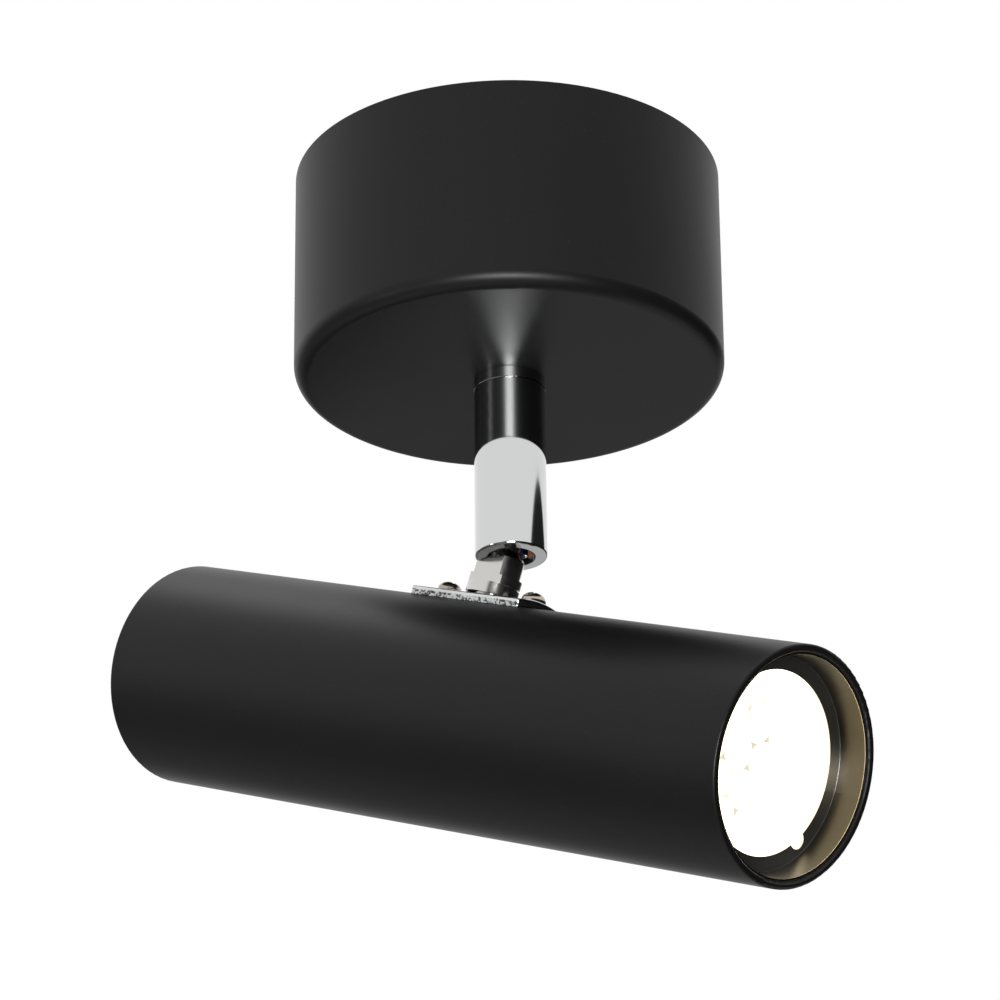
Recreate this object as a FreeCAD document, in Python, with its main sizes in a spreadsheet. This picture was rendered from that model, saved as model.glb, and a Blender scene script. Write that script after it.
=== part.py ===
"""Surface mounted ceiling spotlight.

A round cup on the ceiling carries a short turned stem, and a tubular lamp head hangs under
the stem on a knuckle.  Millimetres, +Z up, origin in the middle of the ceiling plate's upper
face.  The lamp head points along -Y.  It is nosed down by the angle tilt_rest.
"""
import FreeCAD, Part
import math
import os

import Sketcher

Vector = FreeCAD.Vector
Rotation = FreeCAD.Rotation

# ---------------------------------------------------------------- driving dimensions

DRIVING_SIZES = [
    # cup on the ceiling
    ("canopy_diameter", 105.0),
    ("canopy_height", 54.0),
    ("canopy_wall", 1.2),
    ("canopy_corner", 3.6),
    # plate behind the cup
    ("plate_gap", 0.8),
    ("plate_thickness", 1.5),
    ("slot_spacing", 70.0),
    ("slot_width", 5.0),
    ("slot_length", 14.0),
    ("ear_angle", 130.0),
    ("ear_width", 12.0),
    ("ear_drop", 13.0),
    ("side_screw_diameter", 4.0),
    ("side_screw_length", 6.5),
    ("side_screw_depth", 8.0),
    ("side_screw_socket", 2.0),
    ("side_screw_socket_depth", 2.5),
    # rubber bush for the supply cable
    ("cable_bore", 8.5),
    ("cable_offset", 28.0),
    ("bush_wall", 2.0),
    ("bush_lip", 1.8),
    ("bush_lip_width", 2.2),
    # three pole terminal block
    ("block_length", 30.0),
    ("block_width", 17.0),
    ("block_drop", 14.0),
    ("block_offset", 27.0),
    ("pole_pitch", 9.0),
    ("terminal_diameter", 5.0),
    ("terminal_bore", 3.2),
    ("terminal_overhang", 0.5),
    ("terminal_screw_diameter", 2.6),
    ("terminal_screw_spacing", 9.0),
    ("block_screw_diameter", 2.5),
    ("block_screw_head", 4.4),
    ("block_screw_head_height", 1.8),
    # earth point on the plate
    ("earth_place_across", 26.0),
    ("earth_place_along", -12.0),
    ("earth_screw_diameter", 4.0),
    ("earth_head_diameter", 7.0),
    ("earth_head_height", 2.4),
    ("tag_thickness", 0.8),
    ("tag_ring_diameter", 8.4),
    ("tag_barrel_length", 7.0),
    # hollow bolt through the cup
    ("bolt_diameter", 8.0),
    ("bolt_bore", 5.2),
    ("bolt_head_diameter", 11.2),
    ("bolt_head_height", 2.2),
    ("bolt_reach", 4.0),
    ("nut_flats", 13.0),
    ("nut_height", 4.0),
    ("nut_washer_diameter", 18.0),
    ("nut_washer_thickness", 1.0),
    ("slip_washer_thickness", 0.8),
    ("spring_washer_thickness", 1.0),
    # collar and barrel
    ("stem_diameter", 17.4),
    ("collar_height", 3.0),
    ("barrel_length", 44.0),
    ("barrel_bore", 11.8),
    ("barrel_roof", 7.0),
    ("seam_bevel", 0.12),
    ("mouth_round", 0.5),
    ("slot_side_gap", 0.3),
    ("slot_rise", 0.6),
    ("stop_pin_diameter", 1.6),
    ("stop_pin_circle", 13.0),
    ("stop_pin_reach", 1.3),
    ("stop_groove_width", 2.2),
    ("stop_groove_depth", 1.6),
    ("stop_web_angle", 14.0),
    # knuckle
    ("pivot_rise", 8.0),
    ("pivot_diameter", 3.0),
    ("pivot_head_diameter", 5.4),
    ("pivot_head_height", 1.1),
    ("pivot_washer_thickness", 0.4),
    ("pivot_blind_wall", 0.8),
    ("tongue_diameter", 8.0),
    ("tongue_length", 6.0),
    ("cone_length", 2.0),
    ("neck_diameter", 11.3),
    ("neck_flats", 7.5),
    ("neck_length", 4.8),
    ("neck_collar_diameter", 12.8),
    ("neck_collar_height", 2.1),
    ("neck_groove_diameter", 11.6),
    ("neck_groove_height", 0.4),
    ("foot_spigot_diameter", 8.0),
    ("lead_passage", 4.4),
    ("lead_window_height", 3.0),
    ("tilt_rest", 21.2),
    ("knuckle_height", 17.8),
    # saddle
    ("saddle_length", 35.4),
    ("saddle_width", 18.0),
    ("saddle_thickness", 2.0),
    ("saddle_screw_spacing", 28.0),
    ("saddle_screw_diameter", 3.0),
    ("saddle_head_diameter", 6.0),
    ("saddle_head_height", 2.4),
    # lamp tube
    ("tube_diameter", 55.0),
    ("tube_wall", 1.8),
    ("tube_front", 105.5),
    ("tube_rear", 94.5),
    ("tube_edge", 0.4),
    ("tube_rim_round", 0.6),
    ("tube_lead_hole", 9.0),
    ("cap_thickness", 2.0),
    ("cap_skirt", 9.0),
    ("cap_skirt_wall", 1.4),
    # front ring
    ("ring_gap", 0.1),
    ("ring_inset", 0.8),
    ("ring_depth", 7.7),
    ("ring_flange", 0.5),
    ("ring_lip", 0.5),
    ("ring_draft", 0.6),
    ("ring_opening", 42.0),
    ("ring_notch", 4.4),
    ("ring_notch_angle", -40.0),
    # lamp
    ("lamp_gap", 0.3),
    ("lamp_side_gap", 0.9),
    ("lamp_rim", 5.0),
    ("lamp_wall", 1.4),
    ("lamp_shoulder_step", 2.3),
    ("lamp_shoulder", 15.0),
    ("lamp_cone", 14.0),
    ("lamp_neck_diameter", 24.0),
    ("lamp_base_diameter", 20.0),
    ("lamp_base_length", 12.0),
    ("lens_thickness", 2.0),
    ("lens_recess", 0.9),
    ("lenslet_pitch", 8.8),
    ("lenslet_rise", 0.8),
    ("board_depth", 9.0),
    ("board_thickness", 1.6),
    ("chip_side", 2.8),
    ("chip_height", 0.7),
    ("driver_width", 18.0),
    ("driver_thickness", 1.2),
    ("driver_can_diameter", 8.0),
    ("driver_can_length", 12.0),
    ("lamp_pin_spacing", 10.0),
    ("lamp_pin_diameter", 2.5),
    ("lamp_pin_length", 7.0),
    ("lamp_pin_head_diameter", 4.6),
    ("lamp_pin_head_height", 2.2),
    # lampholder
    ("holder_gap", 0.5),
    ("holder_diameter", 28.0),
    ("holder_length", 18.0),
    ("holder_lip", 2.6),
    ("holder_cavity", 10.0),
    ("twist_angle", 20.0),
    ("contact_thickness", 0.5),
    ("holder_screw_diameter", 3.0),
    ("holder_screw_head", 5.4),
    ("holder_screw_spacing", 18.0),
    # bracket inside the tube
    ("bracket_width", 16.0),
    ("bracket_thickness", 1.5),
    ("bracket_tail", 16.0),
    ("bracket_leg_drop", 14.0),
    ("tube_earth_offset", 10.0),
    ("tube_earth_screw_diameter", 3.0),
    # internal wiring
    ("lead_diameter", 1.3),
    ("lead_spread", 2.25),
    # clearances
    ("thread_gap", 0.05),
    ("running_gap", 0.06),
    ("through_gap", 0.15),
    ("seat_gap", 0.1),
]


class Size:
    """A length or an angle, with the formula that the document keeps for it."""

    def __init__(self, value, formula):
        self.value = float(value)
        self.formula = formula

    def __add__(self, other):
        other = as_size(other)
        return Size(self.value + other.value, f"({self.formula} + {other.formula})")

    def __radd__(self, other):
        return as_size(other) + self

    def __sub__(self, other):
        other = as_size(other)
        return Size(self.value - other.value, f"({self.formula} - {other.formula})")

    def __rsub__(self, other):
        return as_size(other) - self

    def __mul__(self, other):
        other = as_size(other)
        return Size(self.value * other.value, f"({self.formula} * {other.formula})")

    def __rmul__(self, other):
        return as_size(other) * self

    def __truediv__(self, other):
        other = as_size(other)
        return Size(self.value / other.value, f"({self.formula} / {other.formula})")

    def __neg__(self):
        return Size(-self.value, f"(0 - {self.formula})")


def as_size(number):
    if isinstance(number, Size):
        return number
    return Size(number, f"({float(number)})" if number < 0 else str(float(number)))


def square_root(size):
    return Size(math.sqrt(size.value), f"sqrt({size.formula})")


def sine(angle):
    return Size(math.sin(math.radians(angle.value)), f"sin({angle.formula} * 1 deg)")


def cosine(angle):
    return Size(math.cos(math.radians(angle.value)), f"cos({angle.formula} * 1 deg)")


def arc_sine(ratio):
    return Size(math.degrees(math.asin(ratio.value)), f"(asin({ratio.formula}) / 1 deg)")


class Sizes:
    """Every driving dimension as an attribute, tied to its cell of the sheet."""

    def __init__(self, sheet, rows):
        for row, (name, number) in enumerate(rows, start=1):
            sheet.set(f"A{row}", name)
            sheet.set(f"B{row}", str(number))
            sheet.setAlias(f"B{row}", name)
            setattr(self, name, Size(number, f"{sheet.Name}.{name}"))


doc = FreeCAD.newDocument("CeilingSpotlight")
sheet = doc.addObject("Spreadsheet::Sheet", "Sizes")
size = Sizes(sheet, DRIVING_SIZES)
doc.recompute()

# ---------------------------------------------------------------- derived dimensions

canopy_radius = size.canopy_diameter / 2
canopy_inside = canopy_radius - size.canopy_wall
canopy_floor = size.canopy_wall - size.canopy_height
plate_radius = canopy_inside - size.plate_gap
plate_under = -size.plate_thickness

stem_radius = size.stem_diameter / 2
collar_top = -size.canopy_height
barrel_top = collar_top - size.collar_height
barrel_mouth = barrel_top - size.barrel_length
barrel_ceiling = barrel_top - size.barrel_roof
barrel_inside = size.barrel_bore / 2
pivot_height = barrel_mouth + size.pivot_rise

bolt_radius = size.bolt_diameter / 2
bolt_head_top = (barrel_ceiling - size.seat_gap - size.slip_washer_thickness
                 - size.spring_washer_thickness)
bolt_head_base = bolt_head_top - size.bolt_head_height
nut_base = canopy_floor + size.nut_washer_thickness
bolt_top = nut_base + size.nut_height + size.bolt_reach

tube_radius = size.tube_diameter / 2
tube_inside = tube_radius - size.tube_wall
saddle_top = tube_radius + size.saddle_thickness
axis_drop = saddle_top + size.knuckle_height

# stations along the tube axis, forward is -Y
mouth = -size.tube_front
flange_front = mouth + size.ring_depth
flange_back = flange_front + size.ring_flange
lamp_rim_radius = tube_inside - size.lamp_side_gap
lamp_front = flange_back + size.lamp_gap
lamp_rim_back = lamp_front + size.lamp_rim
lamp_shoulder_back = lamp_rim_back + size.lamp_shoulder
lamp_cone_back = lamp_shoulder_back + size.lamp_cone
lamp_back = lamp_cone_back + size.lamp_base_length
holder_front = lamp_back + size.holder_gap
holder_back = holder_front + size.holder_length
bracket_strip_top = (square_root(tube_inside * tube_inside
                                 - size.bracket_width * size.bracket_width / 4)
                     - size.seat_gap)
bracket_strip_base = bracket_strip_top - size.bracket_thickness
bracket_leg_back = holder_back + size.bracket_thickness
saddle_screw_place = size.saddle_screw_spacing / 2
tube_earth_place = saddle_screw_place + size.tube_earth_offset

# ---------------------------------------------------------------- building helpers

NODES = []


def keep(thing, node):
    """Name a finished piece and put it on the list of pieces."""
    thing.Label = node
    NODES.append(thing)
    return thing


def bind(thing, prop, wanted):
    thing.setExpression(prop, as_size(wanted).formula)


def number(wanted):
    return as_size(wanted).value


def move(thing, x=0, y=0, z=0, axis=None, angle=0):
    """Place a piece, with every coordinate and the angle tied to the sheet."""
    turn = Rotation(axis, number(angle)) if axis else Rotation()
    thing.Placement = FreeCAD.Placement(Vector(number(x), number(y), number(z)), turn)
    for letter, wanted in (("x", x), ("y", y), ("z", z)):
        if isinstance(wanted, Size):
            bind(thing, f"Placement.Base.{letter}", wanted)
    if isinstance(angle, Size):
        bind(thing, "Placement.Rotation.Angle", angle)
    return thing


def hang(thing):
    """Take a piece from the tube's own frame to its place under the stem.

    The tube's frame has its origin on the tube axis under the knuckle, the axis along Y and
    the mouth at -Y.
    """
    return move(thing, 0, axis_drop * sine(size.tilt_rest),
                pivot_height - axis_drop * cosine(size.tilt_rest),
                Vector(1, 0, 0), size.tilt_rest)


def new_body(name):
    return doc.addObject("PartDesign::Body", name)


def sketch_on(body, plane, name, offset=0, turn=0):
    """A sketch on one of the body's own planes, moved along its normal and turned in it."""
    support = [f for f in body.Origin.OriginFeatures if f.Role == plane][0]
    sketch = body.newObject("Sketcher::SketchObject", name)
    sketch.AttachmentSupport = [(support, "")]
    sketch.MapMode = "FlatFace"
    sketch.AttachmentOffset = FreeCAD.Placement(
        Vector(0, 0, number(offset)), Rotation(Vector(0, 0, 1), number(turn)))
    if isinstance(offset, Size):
        bind(sketch, "AttachmentOffset.Base.z", offset)
    if isinstance(turn, Size):
        bind(sketch, "AttachmentOffset.Rotation.Angle", turn)
    return sketch


def pin_point(sketch, geometry, point, place):
    """Fix a point of a sketch by its two coordinates, or by one where the other is None."""
    for kind, axis, wanted in (("DistanceX", -2, place[0]), ("DistanceY", -1, place[1])):
        if wanted is None:
            continue
        if isinstance(wanted, Size):
            row = sketch.addConstraint(
                Sketcher.Constraint(kind, -1, 1, geometry, point, wanted.value))
            bind(sketch, f"Constraints[{row}]", wanted)
        elif wanted == 0:
            sketch.addConstraint(Sketcher.Constraint("PointOnObject", geometry, point, axis))
        else:
            sketch.addConstraint(
                Sketcher.Constraint(kind, -1, 1, geometry, point, float(wanted)))


def draw_polygon(sketch, corners):
    first = sketch.GeometryCount
    count = len(corners)
    places = [Vector(number(x), number(y), 0) for x, y in corners]
    for index in range(count):
        sketch.addGeometry(Part.LineSegment(places[index], places[(index + 1) % count]), False)
    for index in range(count):
        sketch.addConstraint(Sketcher.Constraint(
            "Coincident", first + index, 2, first + (index + 1) % count, 1))
    for index, corner in enumerate(corners):
        pin_point(sketch, first + index, 1, corner)


def draw_rectangle(sketch, left, right, low, high):
    draw_polygon(sketch, [(left, low), (right, low), (right, high), (left, high)])


def draw_circle(sketch, x, y, radius):
    place = sketch.addGeometry(
        Part.Circle(Vector(number(x), number(y), 0), Vector(0, 0, 1), number(radius)), False)
    pin_point(sketch, place, 3, (x, y))
    row = sketch.addConstraint(Sketcher.Constraint("Radius", place, number(radius)))
    bind(sketch, f"Constraints[{row}]", radius)


def draw_slot(sketch, x, y, radius, half_length):
    """A slot along the sketch's first axis, with half round ends."""
    near, far = x - half_length, x + half_length
    low, high = y - radius, y + radius
    centre = {"near": Vector(number(near), number(y), 0), "far": Vector(number(far), number(y), 0)}
    upright = Vector(0, 0, 1)
    top = sketch.addGeometry(Part.LineSegment(
        Vector(number(near), number(high), 0), Vector(number(far), number(high), 0)), False)
    right = sketch.addGeometry(Part.ArcOfCircle(
        Part.Circle(centre["far"], upright, number(radius)), -math.pi / 2, math.pi / 2), False)
    base = sketch.addGeometry(Part.LineSegment(
        Vector(number(far), number(low), 0), Vector(number(near), number(low), 0)), False)
    left = sketch.addGeometry(Part.ArcOfCircle(
        Part.Circle(centre["near"], upright, number(radius)), math.pi / 2, 1.5 * math.pi), False)
    for one, one_end, other, other_end in ((top, 2, right, 2), (right, 1, base, 1),
                                           (base, 2, left, 2), (left, 1, top, 1)):
        sketch.addConstraint(Sketcher.Constraint("Coincident", one, one_end, other, other_end))
    pin_point(sketch, right, 3, (far, None))
    pin_point(sketch, left, 3, (near, None))
    pin_point(sketch, top, 1, (near, high))
    pin_point(sketch, top, 2, (far, high))
    pin_point(sketch, base, 1, (far, low))
    pin_point(sketch, base, 2, (near, low))


def draw_arc_slot(sketch, circle, half_width, sweep, side):
    """A curved slot about the sketch's origin, from the first axis round by the sweep."""
    upright = Vector(0, 0, 1)
    start = 0 if side > 0 else math.pi
    turn = math.radians(number(sweep))
    outer, inner = circle + half_width, circle - half_width
    across, up = cosine(sweep) * side, sine(sweep) * side

    def arc(centre, radius, begin, end):
        place = Vector(number(centre[0]), number(centre[1]), 0)
        return sketch.addGeometry(Part.ArcOfCircle(
            Part.Circle(place, upright, number(radius)), begin, end), False)

    far = arc((0, 0), outer, start, start + turn)
    door = arc((circle * across, circle * up), half_width, start + turn,
               start + turn + math.pi)
    near_side = arc((0, 0), inner, start, start + turn)
    seat = arc((circle * side, 0), half_width, start + math.pi, start + 2 * math.pi)
    for one, one_end, other, other_end in ((far, 2, door, 1), (door, 2, near_side, 2),
                                           (near_side, 1, seat, 1), (seat, 2, far, 1)):
        sketch.addConstraint(Sketcher.Constraint("Coincident", one, one_end, other, other_end))
    for ring, radius in ((far, outer), (near_side, inner)):
        pin_point(sketch, ring, 3, (0, 0))
        pin_point(sketch, ring, 1, (radius * side, 0))
        pin_point(sketch, ring, 2, (None, radius * up))
    pin_point(sketch, door, 3, (None, circle * up))
    pin_point(sketch, seat, 3, (None, 0))


def revolve(body, sketch):
    """Turn a sketch about its own upright axis."""
    feature = body.newObject("PartDesign::Revolution", sketch.Name + "Turned")
    feature.Profile = sketch
    feature.ReferenceAxis = (sketch, ["V_Axis"])
    feature.Angle = 360
    return feature


def pad(body, sketch, length, side="One side", backwards=False):
    feature = body.newObject("PartDesign::Pad", sketch.Name + "Pad")
    feature.Profile = sketch
    feature.SideType = side
    feature.Reversed = backwards
    bind(feature, "Length", length)
    return feature


def pocket(body, sketch, length=None, side="One side", backwards=False):
    """Cut a sketch into the body, to a depth or right through."""
    feature = body.newObject("PartDesign::Pocket", sketch.Name + "Cut")
    feature.Profile = sketch
    feature.SideType = side
    feature.Reversed = backwards
    if length is None:
        feature.Type = "ThroughAll"
    else:
        bind(feature, "Length", length)
    return feature


def round_edges(body, feature, radius, wanted, kind="PartDesign::Fillet"):
    """Round or bevel every circular edge whose radius and centre the test accepts."""
    doc.recompute()
    names = []
    for index, edge in enumerate(feature.Shape.Edges, start=1):
        curve = edge.Curve
        if isinstance(curve, Part.Circle) and wanted(curve.Radius, curve.Center):
            names.append(f"Edge{index}")
    if not names:
        raise RuntimeError(f"no edge to round on {feature.Name}")
    dressed = body.newObject(kind, feature.Name + "Edge")
    dressed.Base = (feature, names)
    bind(dressed, "Radius" if kind.endswith("Fillet") else "Size", radius)
    return dressed


def near(first, second):
    return abs(first - number(second)) < 1e-4


def turned(name, profile, plane="XZ_Plane"):
    """A turned piece: on XZ_Plane about Z, on XY_Plane about Y."""
    body = new_body(name)
    sketch = sketch_on(body, plane, name + "Profile")
    draw_polygon(sketch, profile)
    revolve(body, sketch)
    return body


AXIS_TURN = {
    "x": Rotation(Vector(0, 1, 0), 90),
    "y": Rotation(Vector(1, 0, 0), -90),
    "z": Rotation(),
    "forward": Rotation(Vector(1, 0, 0), 90),
}


def set_place(thing, place, axis="z"):
    """Put a primitive at a place, with its own Z turned to the named axis."""
    thing.Placement = FreeCAD.Placement(Vector(*[number(p) for p in place]), AXIS_TURN[axis])
    for letter, wanted in zip("xyz", place):
        if isinstance(wanted, Size):
            bind(thing, f"Placement.Base.{letter}", wanted)
    return thing


def cylinder(name, radius, length, place=(0, 0, 0), axis="z", angle=360):
    thing = doc.addObject("Part::Cylinder", name)
    bind(thing, "Radius", radius)
    bind(thing, "Height", length)
    bind(thing, "Angle", angle)
    return set_place(thing, place, axis)


def box(name, sides, corner):
    thing = doc.addObject("Part::Box", name)
    for prop, wanted in zip(("Length", "Width", "Height"), sides):
        bind(thing, prop, wanted)
    return set_place(thing, corner)


def cut(name, base, tool):
    thing = doc.addObject("Part::Cut", name)
    thing.Base = base
    thing.Tool = tool
    return thing


def fuse(name, pieces):
    thing = doc.addObject("Part::MultiFuse", name)
    thing.Shapes = pieces
    return thing


def common(name, pieces):
    thing = doc.addObject("Part::MultiCommon", name)
    thing.Shapes = pieces
    return thing


def group(name, pieces):
    """Identical pieces in one node, each its own solid."""
    thing = doc.addObject("Part::Compound", name)
    thing.Links = pieces
    return thing


def washer(name, outer, inner, thickness, place, axis="z"):
    return cut(name, cylinder(name + "Disc", outer, thickness, place, axis),
               cylinder(name + "Hole", inner, thickness, place, axis))


def pan_screw(name, head_radius, head_height, shank_radius, shank_length, slot_depth):
    """A cross recessed screw, its head standing up from z = 0 and its shank below."""
    body = turned(name, [
        (0, -shank_length), (shank_radius, -shank_length), (shank_radius, 0),
        (head_radius, 0), (head_radius, head_height * 0.45),
        (head_radius * 0.88, head_height * 0.78), (head_radius * 0.62, head_height * 0.96),
        (0, head_height)])
    arm, half = head_radius * 0.52, head_radius * 0.12
    cross = sketch_on(body, "XY_Plane", name + "Cross", head_height)
    draw_polygon(cross, [
        (half, half), (arm, half), (arm, -half), (half, -half), (half, -arm), (-half, -arm),
        (-half, -half), (-arm, -half), (-arm, half), (-half, half), (-half, arm), (half, arm)])
    pocket(body, cross, slot_depth)
    return body


def bent_wire(name, points, radius):
    """A round wire through the points: straight runs joined by the largest tangent arcs."""
    points = [Vector(*[number(value) for value in point]) for point in points]
    edges = []
    start = points[0]
    for before, corner, after in zip(points, points[1:], points[2:]):
        back, ahead = before - corner, after - corner
        half_turn = (math.pi - back.getAngle(ahead)) / 2
        reach = 0.45 * min(back.Length, ahead.Length)
        bend = reach / math.tan(half_turn)
        entry = corner + back.normalize() * reach
        leave = corner + ahead.normalize() * reach
        towards = (back + ahead).normalize()
        middle = corner + towards * (bend / math.cos(half_turn) - bend)
        edges.append(Part.LineSegment(start, entry).toShape())
        edges.append(Part.Arc(entry, middle, leave).toShape())
        start = leave
    edges.append(Part.LineSegment(start, points[-1]).toShape())
    path = Part.Wire(edges)
    print(f"{name} is {path.Length:.0f} mm long")
    ring = Part.Wire(Part.Circle(points[0], points[1] - points[0], number(radius)).toShape())
    thing = doc.addObject("Part::Feature", name)
    thing.Shape = path.makePipeShell([ring], True, False)
    return thing


# ---------------------------------------------------------------- cup on the ceiling


def make_ceiling_plate():
    """Round steel plate with two slots, a cable hole and two bent ears."""
    body = new_body("CeilingPlate")
    disc = sketch_on(body, "XY_Plane", "PlateDisc", plate_under)
    draw_circle(disc, 0, 0, plate_radius)
    pad(body, disc, size.plate_thickness)
    ears = sketch_on(body, "XZ_Plane", "PlateEars")
    inner = plate_radius - size.plate_thickness
    reach = square_root(plate_radius * plate_radius - size.ear_width * size.ear_width / 4)
    inner_reach = reach - size.plate_thickness
    draw_rectangle(ears, inner_reach, reach, -size.ear_drop, plate_under)
    draw_rectangle(ears, -reach, -inner_reach, -size.ear_drop, plate_under)
    pad(body, ears, size.ear_width, "Symmetric")
    holes = sketch_on(body, "YZ_Plane", "PlateEarHoles")
    draw_circle(holes, 0, -size.side_screw_depth,
                size.side_screw_diameter / 2 + size.thread_gap)
    pocket(body, holes, None, "Symmetric")
    slots = sketch_on(body, "XY_Plane", "PlateSlots", 0, -size.ear_angle)
    half = (size.slot_length - size.slot_width) / 2
    draw_slot(slots, size.slot_spacing / 2, as_size(0), size.slot_width / 2, half)
    draw_slot(slots, -size.slot_spacing / 2, as_size(0), size.slot_width / 2, half)
    draw_circle(slots, 0, size.cable_offset, size.cable_bore / 2 + size.bush_wall)
    draw_circle(slots, size.earth_place_across, size.earth_place_along,
                size.earth_screw_diameter / 2 + size.thread_gap)
    for side in (1, -1):
        draw_circle(slots, size.pole_pitch / 2 * side, -size.block_offset,
                    size.block_screw_diameter / 2 + size.thread_gap)
    pocket(body, slots, size.plate_thickness * 2)
    move(body, axis=Vector(0, 0, 1), angle=size.ear_angle)
    keep(body, "ceiling_plate")
    return inner


def make_canopy():
    """Deep drawn cup, open at the ceiling."""
    body = new_body("Canopy")
    profile = sketch_on(body, "XZ_Plane", "CanopyProfile")
    hole = bolt_radius + size.through_gap
    draw_polygon(profile, [
        (hole, -size.canopy_height), (canopy_radius, -size.canopy_height), (canopy_radius, 0),
        (canopy_inside, 0), (canopy_inside, canopy_floor), (hole, canopy_floor)])
    cup = revolve(body, profile)
    outer = round_edges(body, cup, size.canopy_corner, lambda radius, centre: (
        near(radius, canopy_radius) and near(centre.z, -size.canopy_height)))
    round_edges(body, outer, size.canopy_corner - size.canopy_wall, lambda radius, centre: (
        near(radius, canopy_inside) and near(centre.z, canopy_floor)))
    holes = sketch_on(body, "YZ_Plane", "CanopySideHoles")
    draw_circle(holes, 0, -size.side_screw_depth,
                size.side_screw_diameter / 2 + size.through_gap)
    pocket(body, holes, None, "Symmetric")
    move(body, axis=Vector(0, 0, 1), angle=size.ear_angle)
    keep(body, "canopy")


def make_side_screws():
    """Two grub screws, flush with the cup and threaded into the plate's ears."""
    screws = []
    outer = square_root(canopy_radius * canopy_radius
                        - size.side_screw_diameter * size.side_screw_diameter / 4)
    for side, name in ((0, "SideScrewOne"), (180, "SideScrewTwo")):
        body = new_body(name)
        round_bar = sketch_on(body, "YZ_Plane", name + "Bar", outer)
        draw_circle(round_bar, 0, -size.side_screw_depth, size.side_screw_diameter / 2)
        pad(body, round_bar, size.side_screw_length, backwards=True)
        socket = sketch_on(body, "YZ_Plane", name + "Socket", outer)
        across = size.side_screw_socket / 2
        corner = across / cosine(as_size(30))
        draw_polygon(socket, [
            (corner * math.cos(math.radians(60 * step + 30)),
             corner * math.sin(math.radians(60 * step + 30)) - size.side_screw_depth)
            for step in range(6)])
        pocket(body, socket, size.side_screw_socket_depth)
        move(body, axis=Vector(0, 0, 1), angle=size.ear_angle + side)
        screws.append(body)
    keep(group("SideScrews", screws), "canopy_side_screws")


def make_cable_bush():
    """Rubber bush that lines the plate's cable hole."""
    hole = size.cable_bore / 2 + size.bush_wall
    lip = hole + size.bush_lip_width
    under = plate_under - size.bush_lip
    body = turned("CableBush", [
        (size.cable_bore / 2, under), (lip, under), (lip, plate_under - size.seat_gap),
        (hole - size.seat_gap, plate_under - size.seat_gap), (hole - size.seat_gap, 0),
        (size.cable_bore / 2, 0)])
    move(body, 0, size.cable_offset, 0)
    keep(body, "cable_bush")


def make_terminal_block():
    """Moulded block with three brass screw terminals along Y."""
    top = plate_under
    middle = top - size.block_drop / 2
    back = -size.block_offset - size.block_width / 2
    body = new_body("TerminalBlock")
    base = sketch_on(body, "XY_Plane", "BlockOutline", top - size.block_drop)
    draw_rectangle(base, -size.block_length / 2, size.block_length / 2, back,
                   back + size.block_width)
    pad(body, base, size.block_drop)
    tunnels = sketch_on(body, "XZ_Plane", "BlockTunnels")
    places = [size.pole_pitch * step for step in (-1, 0, 1)]
    for place in places:
        draw_circle(tunnels, place, middle, size.terminal_diameter / 2 + size.seat_gap)
    pocket(body, tunnels, None, "Symmetric")
    wells = sketch_on(body, "XY_Plane", "BlockWells", top - size.block_drop)
    rows = [-size.block_offset + size.terminal_screw_spacing / 2 * side for side in (-1, 1)]
    for place in places:
        for row in rows:
            draw_circle(wells, place, row, size.terminal_screw_diameter / 2 + size.through_gap * 4)
    pocket(body, wells, size.block_drop / 2, backwards=True)
    fixings = sketch_on(body, "XY_Plane", "BlockFixings", top - size.block_drop)
    for side in (1, -1):
        draw_circle(fixings, size.pole_pitch / 2 * side, -size.block_offset,
                    size.block_screw_diameter / 2 + size.through_gap)
    pocket(body, fixings, None, backwards=True)
    keep(body, "terminal_block")

    tubes = []
    screws = []
    overhang = size.terminal_overhang
    for step, place in enumerate(places):
        name = f"Terminal{step}"
        length = size.block_width + overhang * 2
        bar = cylinder(name + "Bar", size.terminal_diameter / 2, length,
                       (place, back - overhang, middle), "y")
        bore = cylinder(name + "Bore", size.terminal_bore / 2, length,
                        (place, back - overhang, middle), "y")
        taps = [cylinder(f"{name}Tap{index}", size.terminal_screw_diameter / 2 + size.thread_gap,
                         size.terminal_diameter / 2,
                         (place, row, middle - size.terminal_diameter / 2))
                for index, row in enumerate(rows)]
        tubes.append(cut(name, bar, fuse(name + "Holes", [bore] + taps)))
        for index, row in enumerate(rows):
            screw = cylinder(f"{name}Screw{index}", size.terminal_screw_diameter / 2,
                             size.block_drop / 2 - size.terminal_bore / 2,
                             (place, row, top - size.block_drop + size.terminal_overhang))
            slot = box(f"{name}Slot{index}",
                       (size.terminal_screw_diameter, size.terminal_overhang,
                        size.terminal_overhang * 2),
                       (place - size.terminal_screw_diameter / 2,
                        row - size.terminal_overhang / 2, top - size.block_drop))
            screws.append(cut(f"{name}Slotted{index}", screw, slot))
    keep(group("TerminalTubes", tubes), "terminal_tubes")
    keep(group("TerminalScrews", screws), "terminal_screws")

    fixing_screws = []
    for side in (1, -1):
        screw = pan_screw("BlockScrew" + ("A" if side > 0 else "B"), size.block_screw_head / 2,
                          size.block_screw_head_height, size.block_screw_diameter / 2,
                          size.block_drop + size.plate_thickness,
                          size.block_screw_head_height / 2)
        move(screw, size.pole_pitch / 2 * side, -size.block_offset, top - size.block_drop,
             Vector(1, 0, 0), 180)
        fixing_screws.append(screw)
    keep(group("BlockScrews", fixing_screws), "terminal_block_screws")


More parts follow.
